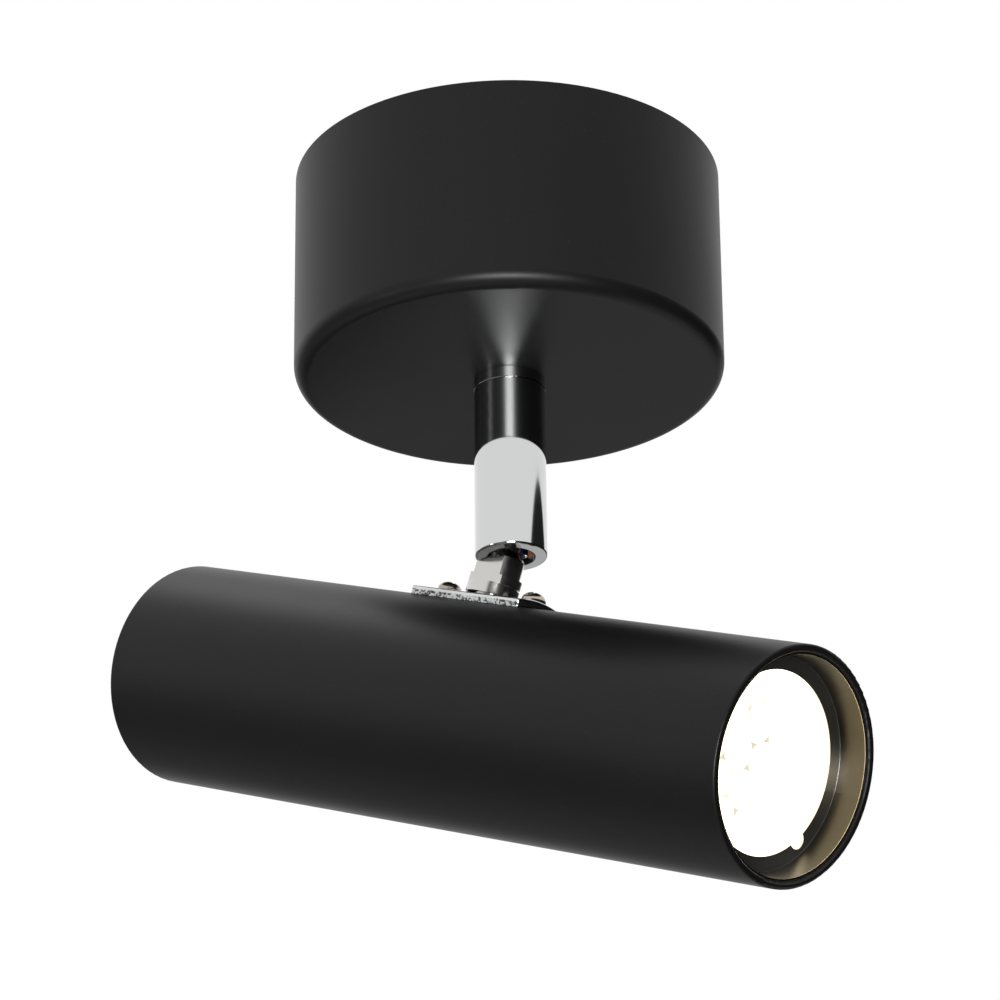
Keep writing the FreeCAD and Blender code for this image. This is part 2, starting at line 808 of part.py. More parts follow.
def ring_tag(name, across, along, under, screw_diameter):
    """Crimped ring tag against a downward face.  Its barrel points along -Y.

    Returns the tag, and where its barrel ends and how high it lies.
    """
    thickness, length = size.tag_thickness, size.tag_barrel_length
    ring_radius = size.tag_ring_diameter / 2
    barrel_radius = size.lead_diameter / 2 + thickness
    barrel_end = along - ring_radius - length
    height = under - barrel_radius
    ring = cylinder(name + "Ring", ring_radius, thickness, (across, along, under - thickness))
    barrel = cylinder(name + "Barrel", barrel_radius, length, (across, barrel_end, height), "y")
    tongue = box(name + "Tongue", (barrel_radius * 1.6, ring_radius * 1.1, thickness),
                 (across - barrel_radius * 0.8, along - ring_radius * 1.1, under - thickness))
    hole = cylinder(name + "Hole", screw_diameter / 2 + size.through_gap, thickness,
                    (across, along, under - thickness))
    crimp = cylinder(name + "Crimp", size.lead_diameter / 2 + size.seat_gap, length,
                     (across, barrel_end, height), "y")
    tag = cut(name, fuse(name + "Blank", [ring, barrel, tongue]),
              fuse(name + "Holes", [hole, crimp]))
    return tag, barrel_end, height


def make_earth_point():
    """Earth screw under the plate, with the ring tag of the earth lead."""
    across, along = size.earth_place_across, size.earth_place_along
    tag, barrel_end, height = ring_tag("EarthTag", across, along, plate_under,
                                       size.earth_screw_diameter)
    keep(tag, "earth_tag")
    screw = pan_screw("EarthScrew", size.earth_head_diameter / 2, size.earth_head_height,
                      size.earth_screw_diameter / 2, size.plate_thickness + size.tag_thickness,
                      size.earth_head_height / 2)
    move(screw, across, along, plate_under - size.tag_thickness, Vector(1, 0, 0), 180)
    keep(screw, "earth_screw")
    return barrel_end, height


def make_tube_earth_point():
    """Earth screw and ring tag under the tail of the bracket in the tube."""
    tag, barrel_end, height = ring_tag("TubeEarthTag", as_size(0), tube_earth_place,
                                       bracket_strip_base, size.tube_earth_screw_diameter)
    keep(hang(tag), "tube_earth_tag")
    screw = pan_screw("TubeEarthScrew", size.saddle_head_diameter / 2, size.saddle_head_height,
                      size.tube_earth_screw_diameter / 2,
                      size.bracket_thickness + size.tag_thickness, size.saddle_head_height / 2)
    move(screw, 0, tube_earth_place, bracket_strip_base - size.tag_thickness,
         Vector(1, 0, 0), 180)
    keep(hang(group("TubeEarthScrewInPlace", [screw])), "tube_earth_screw")
    return barrel_end, height


def make_hollow_bolt():
    """Hollow bolt that carries the barrel, and what holds it in the cup's floor."""
    bore = size.bolt_bore / 2
    body = turned("HollowBolt", [
        (bore, bolt_head_base), (size.bolt_head_diameter / 2, bolt_head_base),
        (size.bolt_head_diameter / 2, bolt_head_top), (bolt_radius, bolt_head_top),
        (bolt_radius, bolt_top), (bore, bolt_top)])
    keep(body, "hollow_bolt")

    nut = new_body("BoltNut")
    outline = sketch_on(nut, "XY_Plane", "NutOutline", nut_base)
    corner = size.nut_flats / 2 / cosine(as_size(30))
    draw_polygon(outline, [(corner * math.cos(math.radians(60 * step)),
                            corner * math.sin(math.radians(60 * step))) for step in range(6)])
    draw_circle(outline, 0, 0, bolt_radius + size.thread_gap)
    pad(nut, outline, size.nut_height)
    keep(nut, "bolt_nut")
    keep(washer("NutWasher", size.nut_washer_diameter / 2, bolt_radius + size.through_gap,
                size.nut_washer_thickness, (0, 0, canopy_floor)), "nut_washer")
    slip_base = barrel_ceiling - size.seat_gap - size.slip_washer_thickness
    washer_radius = size.bolt_head_diameter / 2 - size.seat_gap
    keep(washer("SlipWasher", washer_radius, bolt_radius + size.through_gap,
                size.slip_washer_thickness, (0, 0, slip_base)), "slip_washer")
    make_spring_washer(washer_radius, slip_base)


def make_spring_washer(outer, top):
    """Split washer that presses the barrel against the collar."""
    base = top - size.spring_washer_thickness
    disc = washer("SpringWasherDisc", outer, bolt_radius + size.through_gap,
                  size.spring_washer_thickness, (0, 0, base))
    gap = box("SpringWasherGap", (outer, size.seat_gap * 8, size.spring_washer_thickness),
              (0, -size.seat_gap * 4, base))
    keep(cut("SpringWasher", disc, gap), "spring_washer")


def make_collar():
    """Chrome collar under the cup, with the pin that stops the barrel's turn."""
    bevel = size.seam_bevel
    hole = bolt_radius + size.through_gap
    body = turned("Collar", [
        (hole, barrel_top), (stem_radius - bevel, barrel_top), (stem_radius, barrel_top + bevel),
        (stem_radius, collar_top - bevel), (stem_radius - bevel, collar_top),
        (hole, collar_top)])
    socket = sketch_on(body, "XY_Plane", "CollarPinHole", barrel_top)
    draw_circle(socket, 0, size.stop_pin_circle / 2,
                size.stop_pin_diameter / 2 + size.thread_gap)
    pocket(body, socket, size.collar_height / 2, backwards=True)
    keep(body, "canopy_collar")
    pin = cylinder("StopPin", size.stop_pin_diameter / 2,
                   size.collar_height / 2 + size.stop_pin_reach,
                   (0, size.stop_pin_circle / 2, barrel_top - size.stop_pin_reach))
    keep(pin, "swivel_stop_pin")


# ---------------------------------------------------------------- barrel


def make_barrel():
    """Turned barrel: roof on the bolt, bore and rear slot for the knuckle."""
    bevel = size.seam_bevel
    hole = bolt_radius + size.running_gap
    top = barrel_top - size.seat_gap
    body = turned("Barrel", [
        (barrel_inside, barrel_mouth), (stem_radius, barrel_mouth), (stem_radius, top - bevel),
        (stem_radius - bevel, top), (hole, top), (hole, barrel_ceiling),
        (barrel_inside, barrel_ceiling)])
    round_edges(body, body.Tip, size.mouth_round, lambda radius, centre: (
        near(radius, stem_radius) and near(centre.z, barrel_mouth)))
    slot = sketch_on(body, "XZ_Plane", "BarrelSlot")
    half = size.neck_flats / 2 + size.slot_side_gap
    draw_rectangle(slot, -half, half, barrel_mouth - 1, pivot_height + size.slot_rise)
    pocket(body, slot, stem_radius * 1.2)
    # screw seat on one side, blind thread on the other
    seat = sketch_on(body, "YZ_Plane", "PivotSeat", stem_radius)
    draw_circle(seat, 0, pivot_height, size.pivot_head_diameter / 2 + size.seat_gap)
    pocket(body, seat, stem_radius - pivot_head_inside())
    shank = sketch_on(body, "YZ_Plane", "PivotHole", stem_radius)
    draw_circle(shank, 0, pivot_height, size.pivot_diameter / 2 + size.thread_gap)
    pocket(body, shank, stem_radius * 2 - size.pivot_blind_wall)
    doc.recompute()

    mean = size.stop_pin_circle / 2
    half_width = size.stop_groove_width / 2
    sweep = 360 - size.stop_web_angle
    groove = cut("StopGroove",
                 cylinder("StopGrooveOuter", mean + half_width, size.stop_groove_depth,
                          (0, 0, top - size.stop_groove_depth), "z", sweep),
                 cylinder("StopGrooveInner", mean - half_width, size.stop_groove_depth,
                          (0, 0, top - size.stop_groove_depth), "z", sweep))
    move(groove, axis=Vector(0, 0, 1), angle=size.stop_web_angle / 2 - 90)
    barrel = cut("GroovedBarrel", body, groove)
    keep(barrel, "swivel_barrel")


def pivot_head_inside():
    """Distance from the axis to the face that the pivot screw's washer bears on."""
    head_edge = square_root(stem_radius * stem_radius
                            - size.pivot_head_diameter * size.pivot_head_diameter / 4)
    return head_edge - size.pivot_head_height - size.pivot_washer_thickness


def make_pivot():
    """Pivot screw, flush with the barrel, and the spring washer under its head."""
    seat = pivot_head_inside()
    keep(washer("PivotWasher", size.pivot_head_diameter / 2, size.pivot_diameter / 2
                + size.through_gap, size.pivot_washer_thickness, (seat, 0, pivot_height), "x"),
         "pivot_washer")
    body = new_body("PivotScrew")
    shank_length = seat + stem_radius - size.pivot_blind_wall - size.seat_gap
    shank = sketch_on(body, "YZ_Plane", "PivotShank", seat + size.pivot_washer_thickness)
    draw_circle(shank, 0, 0, size.pivot_diameter / 2)
    pad(body, shank, shank_length + size.pivot_washer_thickness, backwards=True)
    head = sketch_on(body, "YZ_Plane", "PivotHead", seat + size.pivot_washer_thickness)
    draw_circle(head, 0, 0, size.pivot_head_diameter / 2)
    pad(body, head, size.pivot_head_height)
    drive = sketch_on(body, "YZ_Plane", "PivotDrive",
                      seat + size.pivot_washer_thickness + size.pivot_head_height)
    half_slot = size.pivot_head_height / 3
    draw_rectangle(drive, -size.pivot_head_diameter, size.pivot_head_diameter,
                   -half_slot, half_slot)
    pocket(body, drive, size.pivot_head_height / 2)
    move(body, 0, 0, pivot_height)
    keep(body, "pivot_screw")


# ---------------------------------------------------------------- knuckle and saddle


def make_knuckle():
    """Turned knuckle with two milled flats, pierced for the pivot and the leads."""
    pivot = axis_drop
    tongue_radius = size.tongue_diameter / 2
    cone_top = pivot - size.tongue_length
    neck_top = cone_top - size.cone_length
    neck_base = neck_top - size.neck_length
    collar_base = neck_base - size.neck_collar_height
    groove_base = collar_base - size.neck_groove_height
    seat = saddle_top
    spigot_base = tube_radius + size.seat_gap
    window_top = cone_top + size.lead_window_height / 2
    body = new_body("Knuckle")
    profile = sketch_on(body, "XZ_Plane", "KnuckleProfile")
    draw_polygon(profile, [
        (0, spigot_base), (size.foot_spigot_diameter / 2, spigot_base),
        (size.foot_spigot_diameter / 2, seat), (size.neck_collar_diameter / 2, seat),
        (size.neck_collar_diameter / 2, groove_base), (size.neck_groove_diameter / 2, groove_base),
        (size.neck_groove_diameter / 2, collar_base), (size.neck_collar_diameter / 2, collar_base),
        (size.neck_collar_diameter / 2, neck_base), (size.neck_diameter / 2, neck_base),
        (size.neck_diameter / 2, neck_top), (tongue_radius, cone_top), (tongue_radius, pivot),
        (0, pivot)])
    revolve(body, profile)
    eye = body.newObject("PartDesign::AdditiveSphere", "KnuckleEye")
    bind(eye, "Radius", tongue_radius)
    eye.AttachmentSupport = [(body.Origin.OriginFeatures[3], "")]
    eye.MapMode = "FlatFace"
    bind(eye, "AttachmentOffset.Base.z", pivot)
    flats = sketch_on(body, "XZ_Plane", "KnuckleFlats")
    half = size.neck_flats / 2
    for side in (1, -1):
        draw_polygon(flats, [
            (half * side, collar_base), (size.neck_collar_diameter * side, collar_base),
            (size.neck_collar_diameter * side, pivot + tongue_radius * 2),
            (half * side, pivot + tongue_radius * 2)])
    pocket(body, flats, None, "Symmetric")
    hole = sketch_on(body, "YZ_Plane", "KnucklePivotHole")
    draw_circle(hole, 0, pivot, size.pivot_diameter / 2 + size.running_gap)
    pocket(body, hole, None, "Symmetric")
    passage = sketch_on(body, "XY_Plane", "KnuckleLeadPassage", spigot_base)
    draw_circle(passage, 0, 0, size.lead_passage / 2)
    pocket(body, passage, window_top - spigot_base, backwards=True)
    window = sketch_on(body, "YZ_Plane", "KnuckleLeadWindow")
    draw_rectangle(window, -size.lead_passage / 2, size.lead_passage / 2,
                   window_top - size.lead_window_height, window_top)
    pocket(body, window, None, "Symmetric")
    hang(body)
    keep(body, "knuckle")


def make_saddle():
    """Curved strip that seats the knuckle on the tube, with its two screws."""
    corner_y = -size.saddle_length / 2
    shell = cut("SaddleShell",
                cylinder("SaddleOuter", saddle_top, size.saddle_length, (0, corner_y, 0), "y"),
                cylinder("SaddleInner", tube_radius, size.saddle_length, (0, corner_y, 0), "y"))
    strip = box("SaddleStrip", (size.saddle_width, size.saddle_length, saddle_top),
                (-size.saddle_width / 2, corner_y, 0))
    blank = common("SaddleBlank", [shell, strip])
    holes = [cylinder("SaddleSpigotHole", size.foot_spigot_diameter / 2 + size.thread_gap,
                      saddle_top)]
    for side in (1, -1):
        holes.append(cylinder("SaddleScrewHole" + ("A" if side > 0 else "B"),
                              size.saddle_screw_diameter / 2 + size.through_gap, saddle_top,
                              (0, saddle_screw_place * side, 0)))
    keep(hang(cut("Saddle", blank, fuse("SaddleHoles", holes))), "saddle_plate")

    screws = []
    for side in (1, -1):
        screw = pan_screw("SaddleScrew" + ("A" if side > 0 else "B"),
                          size.saddle_head_diameter / 2, size.saddle_head_height,
                          size.saddle_screw_diameter / 2,
                          saddle_top - bracket_strip_base, size.saddle_head_height / 2)
        move(screw, 0, saddle_screw_place * side, saddle_top)
        screws.append(screw)
    keep(hang(group("SaddleScrews", screws)), "saddle_screws")


# ---------------------------------------------------------------- lamp tube


def make_tube():
    """Drawn tube with rounded rims and three holes under the saddle."""
    rear = size.tube_rear
    body = turned("LampTube", [
        (tube_inside, mouth), (tube_radius, mouth), (tube_radius, rear), (tube_inside, rear)],
        "XY_Plane")
    round_edges(body, body.Tip, size.tube_rim_round, lambda radius, centre: (
        near(radius, tube_radius) or near(centre.y, mouth)))
    holes = sketch_on(body, "XY_Plane", "TubeHoles", tube_inside * 0.8)
    draw_circle(holes, 0, 0, size.tube_lead_hole / 2)
    for side in (1, -1):
        draw_circle(holes, 0, saddle_screw_place * side,
                    size.saddle_screw_diameter / 2 + size.through_gap)
    pocket(body, holes, tube_radius, backwards=True)
    keep(hang(body), "lamp_tube")


def make_rear_cap():
    """Pressed cap, flush with the tube's rear end."""
    outer = tube_inside - size.ring_gap
    inner = outer - size.cap_skirt_wall
    rear = size.tube_rear
    body = turned("RearCap", [
        (0, rear - size.cap_thickness), (inner, rear - size.cap_thickness),
        (inner, rear - size.cap_skirt), (outer, rear - size.cap_skirt),
        (outer, rear - size.tube_edge), (outer - size.tube_edge, rear), (0, rear)], "XY_Plane")
    keep(hang(body), "rear_cap")


def make_front_ring():
    """Bezel in the tube's mouth: tapered skirt, flat flange, two half round notches."""
    outer = tube_inside - size.ring_gap
    inner = outer - size.ring_lip
    root = inner - size.ring_draft
    opening = size.ring_opening / 2
    front = mouth + size.ring_inset
    body = new_body("FrontRing")
    profile = sketch_on(body, "XY_Plane", "RingProfile")
    draw_polygon(profile, [
        (outer, front), (inner, front), (root, flange_front), (opening, flange_front),
        (opening, flange_back), (outer, flange_back)])
    revolve(body, profile)
    notches = sketch_on(body, "XZ_Plane", "RingNotches", -flange_back)
    for side in (1, -1):
        draw_circle(notches, opening * cosine(size.ring_notch_angle) * side,
                    opening * sine(size.ring_notch_angle) * side, size.ring_notch / 2)
    pocket(body, notches, size.ring_flange * 2, backwards=True)
    keep(hang(body), "front_ring")


# ---------------------------------------------------------------- lamp and lampholder


def make_lamp():
    """Twist lock reflector lamp: housing, lens, board, chips, base and pins."""
    rim = lamp_rim_radius
    neck = size.lamp_neck_diameter / 2
    wall = size.lamp_wall
    seat = lamp_front + size.lens_recess
    lens_back = seat + size.lens_thickness
    board_front = lamp_front + size.board_depth
    board_back = board_front + size.board_thickness
    shoulder = rim - size.lamp_shoulder_step
    lens_seat = lens_back + size.seat_gap
    board_seat = board_back + size.seat_gap
    housing = turned("LampHousing", [
        (rim - wall, lamp_front), (rim, lamp_front), (rim, lamp_rim_back),
        (shoulder, lamp_shoulder_back), (neck, lamp_cone_back), (0, lamp_cone_back),
        (0, lamp_cone_back - wall * 2), (neck - wall, lamp_cone_back - wall * 2),
        (shoulder - wall * 1.5, lamp_shoulder_back - wall), (rim - wall * 3, board_seat),
        (rim - wall * 2, board_seat), (rim - wall * 2, lens_seat), (rim - wall, lens_seat)],
        "XY_Plane")
    keep(hang(housing), "lamp_housing")

    lens_radius = rim - wall - size.seat_gap
    disc = cylinder("LensDisc", lens_radius, size.lens_thickness, (0, seat, 0), "y")
    sphere_radius = ((size.lenslet_pitch * size.lenslet_pitch / 4
                      + size.lenslet_rise * size.lenslet_rise) / (size.lenslet_rise * 2))
    latitude = arc_sine((sphere_radius - size.lenslet_rise) / sphere_radius)
    lenslets = []
    chips = []
    chip_front = board_front - size.chip_height
    for column, row in lenslet_places():
        across = size.lenslet_pitch * (column + row / 2)
        up = size.lenslet_pitch * row * cosine(as_size(30))
        name = f"Lenslet{len(lenslets)}"
        cap = doc.addObject("Part::Sphere", name)
        bind(cap, "Radius", sphere_radius)
        bind(cap, "Angle1", latitude)
        set_place(cap, (across, seat + sphere_radius - size.lenslet_rise, up), "forward")
        lenslets.append(cap)
        chips.append(box(name + "Chip", (size.chip_side, size.chip_height, size.chip_side),
                         (across - size.chip_side / 2, chip_front, up - size.chip_side / 2)))
    keep(hang(fuse("LampLens", [disc] + lenslets)), "lamp_lens")
    board = cylinder("LedBoard", rim - wall * 2 - size.seat_gap, size.board_thickness,
                     (0, board_front, 0), "y")
    keep(hang(board_with_seat(board, rim - wall * 3, board_back)), "led_board")
    keep(hang(group("LedChips", chips)), "led_chips")
    driver_front = board_back + size.board_thickness * 2
    driver_back = lamp_cone_back - wall * 2 - size.seat_gap
    card = box("DriverCard", (size.driver_width, driver_back - driver_front,
                              size.driver_thickness),
               (-size.driver_width / 2, driver_front, -size.driver_thickness / 2))
    can = cylinder("DriverCan", size.driver_can_diameter / 2, size.driver_can_length,
                   (0, driver_front + size.driver_thickness,
                    size.driver_thickness / 2 + size.driver_can_diameter / 2
                    - size.seat_gap), "y")
    keep(hang(fuse("LedDriver", [card, can])), "led_driver")

    base_radius = size.lamp_base_diameter / 2
    base = turned("LampBase", [
        (0, lamp_cone_back), (base_radius, lamp_cone_back), (base_radius, lamp_back - wall),
        (base_radius - wall, lamp_back), (0, lamp_back)], "XY_Plane")
    sockets = sketch_on(base, "XZ_Plane", "LampPinSockets", -lamp_back)
    for side in (1, -1):
        draw_circle(sockets, size.lamp_pin_spacing / 2 * side, 0,
                    size.lamp_pin_diameter / 2 + size.thread_gap)
    pocket(base, sockets, size.lamp_pin_length, backwards=True)
    keep(hang(base), "lamp_base")
    pins = []
    for side in (1, -1):
        name = "LampPin" + ("A" if side > 0 else "B")
        pin = turned(name, [
            (0, lamp_back - size.lamp_pin_length), (size.lamp_pin_diameter / 2,
                                                    lamp_back - size.lamp_pin_length),
            (size.lamp_pin_diameter / 2, lamp_back + size.lamp_pin_length
             - size.lamp_pin_head_height),
            (size.lamp_pin_head_diameter / 2, lamp_back + size.lamp_pin_length
             - size.lamp_pin_head_height),
            (size.lamp_pin_head_diameter / 2, lamp_back + size.lamp_pin_length - size.tube_edge),
            (size.lamp_pin_head_diameter / 2 - size.tube_edge,
             lamp_back + size.lamp_pin_length), (0, lamp_back + size.lamp_pin_length)],
            "XY_Plane")
        move(pin, size.lamp_pin_spacing / 2 * side, 0, 0)
        pins.append(pin)
    keep(hang(group("LampPins", pins)), "lamp_pins")


def board_with_seat(board, seat_radius, back):
    """The circuit board, with the aluminium boss under it that carries its heat away."""
    boss = cylinder("LedBoardBoss", seat_radius - size.board_thickness, size.board_thickness,
                    (0, back, 0), "y")
    return fuse("LedBoardOnBoss", [board, boss])


def lenslet_places():
    """Hexagonal layout: one in the middle, six round it, twelve round those."""
    places = []
    for row in range(-2, 3):
        for column in range(-2, 3):
            if abs(row + column) <= 2:
                places.append((column, row))
    return places


def make_lampholder():
    """Ceramic holder with two arc keyholes, its contacts and its screws."""
    circle = size.lamp_pin_spacing / 2
    ease = size.through_gap * 2
    slim = size.lamp_pin_diameter / 2 + ease
    wide = size.lamp_pin_head_diameter / 2 + ease
    body = new_body("Lampholder")
    block = sketch_on(body, "XZ_Plane", "HolderOutline", -holder_front)
    draw_circle(block, 0, 0, size.holder_diameter / 2)
    pad(body, block, size.holder_length, backwards=True)
    lips = sketch_on(body, "XZ_Plane", "HolderLips", -holder_front)
    doors = sketch_on(body, "XZ_Plane", "HolderDoors", -holder_front)
    cavities = sketch_on(body, "XZ_Plane", "HolderCavities", -holder_front - size.holder_lip)
    rears = sketch_on(body, "XZ_Plane", "HolderRearHoles", -holder_back)
    taps = sketch_on(body, "XZ_Plane", "HolderTaps", -holder_back)
    for side in (1, -1):
        draw_arc_slot(lips, circle, slim, size.twist_angle, side)
        draw_circle(doors, circle * cosine(size.twist_angle) * side,
                    circle * sine(size.twist_angle) * side, wide + size.through_gap)
        draw_arc_slot(cavities, circle, wide, size.twist_angle, side)
        draw_circle(rears, circle * side, 0, size.lead_diameter / 2 + size.through_gap)
        draw_circle(taps, 0, size.holder_screw_spacing / 2 * side,
                    size.holder_screw_diameter / 2 + size.thread_gap)
    pocket(body, lips, size.holder_lip)
    pocket(body, doors, size.holder_lip)
    pocket(body, cavities, size.holder_cavity - size.holder_lip)
    pocket(body, rears, size.holder_length - size.holder_cavity, backwards=True)
    pocket(body, taps, size.holder_length / 2, backwards=True)
    keep(hang(body), "lampholder")

    contacts = []
    for side in (1, -1):
        name = "Contact" + ("A" if side > 0 else "B")
        plate = cylinder(name + "Plate", size.lamp_pin_head_diameter / 2,
                         size.contact_thickness,
                         (circle * side, holder_front + size.holder_cavity
                          - size.contact_thickness, 0), "y")
        contacts.append(plate)
    keep(hang(group("HolderContacts", contacts)), "lampholder_contacts")

    screws = []
    for side in (1, -1):
        screw = pan_screw("HolderScrew" + ("A" if side > 0 else "B"),
                          size.holder_screw_head / 2, size.saddle_head_height,
                          size.holder_screw_diameter / 2,
                          size.bracket_thickness + size.holder_length / 2 - size.seat_gap,
                          size.saddle_head_height / 2)
        move(screw, 0, bracket_leg_back, size.holder_screw_spacing / 2 * side,
             Vector(1, 0, 0), -90)
        screws.append(screw)
    keep(hang(group("HolderScrews", screws)), "lampholder_screws")


def make_bracket():
    """Bent steel bracket under the saddle screws, with the leg that carries the holder."""
    body = new_body("HolderBracket")
    half = size.bracket_width / 2
    rear = saddle_screw_place + size.bracket_tail
    side_view = sketch_on(body, "YZ_Plane", "BracketProfile")
    draw_polygon(side_view, [
        (holder_back, -size.bracket_leg_drop), (bracket_leg_back, -size.bracket_leg_drop),
        (bracket_leg_back, bracket_strip_base), (rear, bracket_strip_base),
        (rear, bracket_strip_top), (holder_back, bracket_strip_top)])
    pad(body, side_view, half * 2, "Symmetric")
    top_holes = sketch_on(body, "XY_Plane", "BracketTopHoles", bracket_strip_top)
    draw_circle(top_holes, 0, 0, size.lead_passage / 2)
    for side in (1, -1):
        draw_circle(top_holes, 0, saddle_screw_place * side,
                    size.saddle_screw_diameter / 2 + size.thread_gap)
    draw_circle(top_holes, 0, tube_earth_place,
                size.tube_earth_screw_diameter / 2 + size.thread_gap)
    pocket(body, top_holes, size.bracket_thickness * 2)
    leg_holes = sketch_on(body, "XZ_Plane", "BracketLegHoles", -holder_back)
    for side in (1, -1):
        draw_circle(leg_holes, size.lamp_pin_spacing / 2 * side, 0,
                    size.lead_diameter / 2 + size.through_gap * 2)
        draw_circle(leg_holes, 0, size.holder_screw_spacing / 2 * side,
                    size.holder_screw_diameter / 2 + size.through_gap)
    pocket(body, leg_holes, size.bracket_thickness * 2)
    keep(hang(body), "holder_bracket")


# ---------------------------------------------------------------- internal wiring


def make_leads(earth_start, tube_earth_start):
    """Live, neutral and earth leads, each in three lengths: cup, barrel and tube."""
    radius = size.lead_diameter / 2
    inside = size.block_offset - size.block_width / 2
    wire_height = plate_under - size.block_drop / 2
    below_bolt = bolt_head_base - size.lead_diameter
    for name, side in (("live", -1), ("neutral", 1)):
        start_x = size.pole_pitch * side
        in_bolt = (size.lead_diameter * 0.62 * side, size.lead_diameter * 0.4)
        keep(bent_wire(f"{name}CupLead", [
            (start_x, -inside - size.terminal_screw_spacing / 2, wire_height),
            (start_x, -inside + size.block_width * 0.45, wire_height),
            (in_bolt[0], in_bolt[1], wire_height - size.block_drop),
            (in_bolt[0], in_bolt[1], bolt_head_base)], radius), f"{name}_lead_canopy")
    earth_along, earth_height = earth_start
    keep(bent_wire("EarthCupLead", [
        (size.earth_place_across, earth_along + size.tag_barrel_length * 0.8, earth_height),
        (size.earth_place_across, earth_along - size.tag_barrel_length * 0.8, earth_height),
        (size.earth_place_across * 0.5, earth_along * 0.5,
         earth_height - size.block_drop * 1.3),
        (0, -size.lead_diameter * 0.8, earth_height - size.block_drop * 1.6),
        (0, -size.lead_diameter * 0.8, bolt_head_base)], radius), "earth_lead_canopy")

    beside = size.neck_flats / 2 + radius + size.through_gap * 1.3
    for name, start, side, along in (
            ("live", (-0.62, 0.4), 1, -1), ("neutral", (0.62, 0.4), 1, 1),
            ("earth", (0, -0.8), -1, -1)):
        begin = (size.lead_diameter * start[0], size.lead_diameter * start[1])
        stretch = below_bolt - pivot_height
        keep(bent_wire(f"{name.capitalize()}BarrelLead", [
            (begin[0], begin[1], below_bolt),
            (begin[0], begin[1], below_bolt - stretch * 0.25),
            (beside * side, size.lead_spread * along, pivot_height + stretch * 0.25),
            (beside * side, size.lead_spread * along, pivot_height - size.tongue_length
             - size.cone_length * 0.6)], radius), f"{name}_lead_barrel")

    top = axis_drop - size.tongue_length - size.cone_length / 2
    for name, side in (("live", -1), ("neutral", 1)):
        start = (size.lead_diameter * 0.6 * side, size.lead_diameter * -0.4)
        keep(hang(bent_wire(f"{name.capitalize()}TubeLead", [
            (start[0], start[1], top), (start[0], start[1], bracket_strip_base * 0.55),
            (size.lamp_pin_spacing / 2 * side, -size.saddle_screw_spacing * 0.25, 0),
            (size.lamp_pin_spacing / 2 * side,
             holder_front + size.holder_cavity, 0)], radius)), f"{name}_lead_tube")
    tag_end, tag_height = tube_earth_start
    start_y = size.lead_diameter * 0.66
    keep(hang(bent_wire("EarthTubeLead", [
        (0, start_y, top), (0, start_y, tag_height - size.tag_barrel_length * 1.2),
        (0, tag_end - size.tag_barrel_length * 1.2, tag_height - size.tag_barrel_length * 1.3),
        (0, tag_end - size.tag_barrel_length * 0.5, tag_height),
        (0, tag_end + size.tag_barrel_length * 0.8, tag_height)], radius)), "earth_lead_tube")


# ---------------------------------------------------------------- build, check and write

make_ceiling_plate()
make_canopy()
make_side_screws()
make_cable_bush()
make_terminal_block()
earth_start = make_earth_point()
make_hollow_bolt()
make_collar()
make_barrel()
make_pivot()
make_knuckle()
make_saddle()
make_tube()
make_rear_cap()
make_front_ring()
make_lamp()
make_lampholder()
make_bracket()
tube_earth_start = make_tube_earth_point()
make_leads(earth_start, tube_earth_start)
doc.recompute()

for thing in doc.Objects:
    if "Invalid" in thing.State or "Error" in thing.State:
        raise RuntimeError(f"{thing.Label} failed: {thing.State}")
for thing in doc.Objects:
    if thing.TypeId == "PartDesign::Pocket":
        if thing.Shape.Volume > thing.BaseFeature.Shape.Volume - 0.01:
            raise RuntimeError(f"{thing.Name} cuts nothing")
for piece in NODES:
    if piece.Shape.isNull() or not piece.Shape.isValid() or piece.Shape.Volume < 0.01:
        raise RuntimeError(f"{piece.Label} has no valid shape")

os.makedirs("parts", exist_ok=True)
for piece in NODES:
    piece.Shape.exportStep(f"parts/{piece.Label}.step")
    print(f"{piece.Label}: {len(piece.Shape.Solids)} solid(s), {piece.Shape.Volume:.1f} mm3")
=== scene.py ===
"""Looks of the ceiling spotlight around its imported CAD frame."""
import math

import bpy
import numpy as np
from mathutils import Matrix, Vector


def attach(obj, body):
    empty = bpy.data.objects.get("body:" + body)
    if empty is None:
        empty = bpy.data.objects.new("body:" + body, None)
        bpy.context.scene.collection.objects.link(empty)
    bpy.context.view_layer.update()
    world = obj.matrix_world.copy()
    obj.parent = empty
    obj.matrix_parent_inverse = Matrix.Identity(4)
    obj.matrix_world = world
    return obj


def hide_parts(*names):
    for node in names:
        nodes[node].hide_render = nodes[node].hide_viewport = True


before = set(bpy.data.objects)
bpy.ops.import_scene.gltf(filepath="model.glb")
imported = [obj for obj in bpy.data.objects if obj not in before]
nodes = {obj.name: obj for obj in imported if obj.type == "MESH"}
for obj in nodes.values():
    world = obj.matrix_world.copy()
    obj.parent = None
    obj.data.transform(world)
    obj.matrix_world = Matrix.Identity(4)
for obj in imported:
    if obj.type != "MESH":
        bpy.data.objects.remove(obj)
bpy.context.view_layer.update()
scene = bpy.context.scene

# Sizes are in millimetres. The tube's frame has the tube's axis along Y, with the mouth at -Y.
MM = 0.001
TILT = math.radians(21.2)  # of the tube's axis under the horizon, turned about the pivot
PIVOT_HEIGHT = -93.0       # under the ceiling, which is the room's z = 0
AXIS_DROP = 47.3           # from the pivot to the tube's axis
SADDLE_TOP = 29.5          # radius over the saddle plate, from the tube's axis
RING_FLOOR_DEPTH = -97.8   # the front ring's floor along the tube's axis

# The same floor measured along the tube's direction from the room's origin. The drop is square
# to that direction, so only the pivot's height adds to it.
RING_FLOOR = MM * (RING_FLOOR_DEPTH + PIVOT_HEIGHT * math.sin(TILT))

# ---------------------------------------------------------------- node helpers


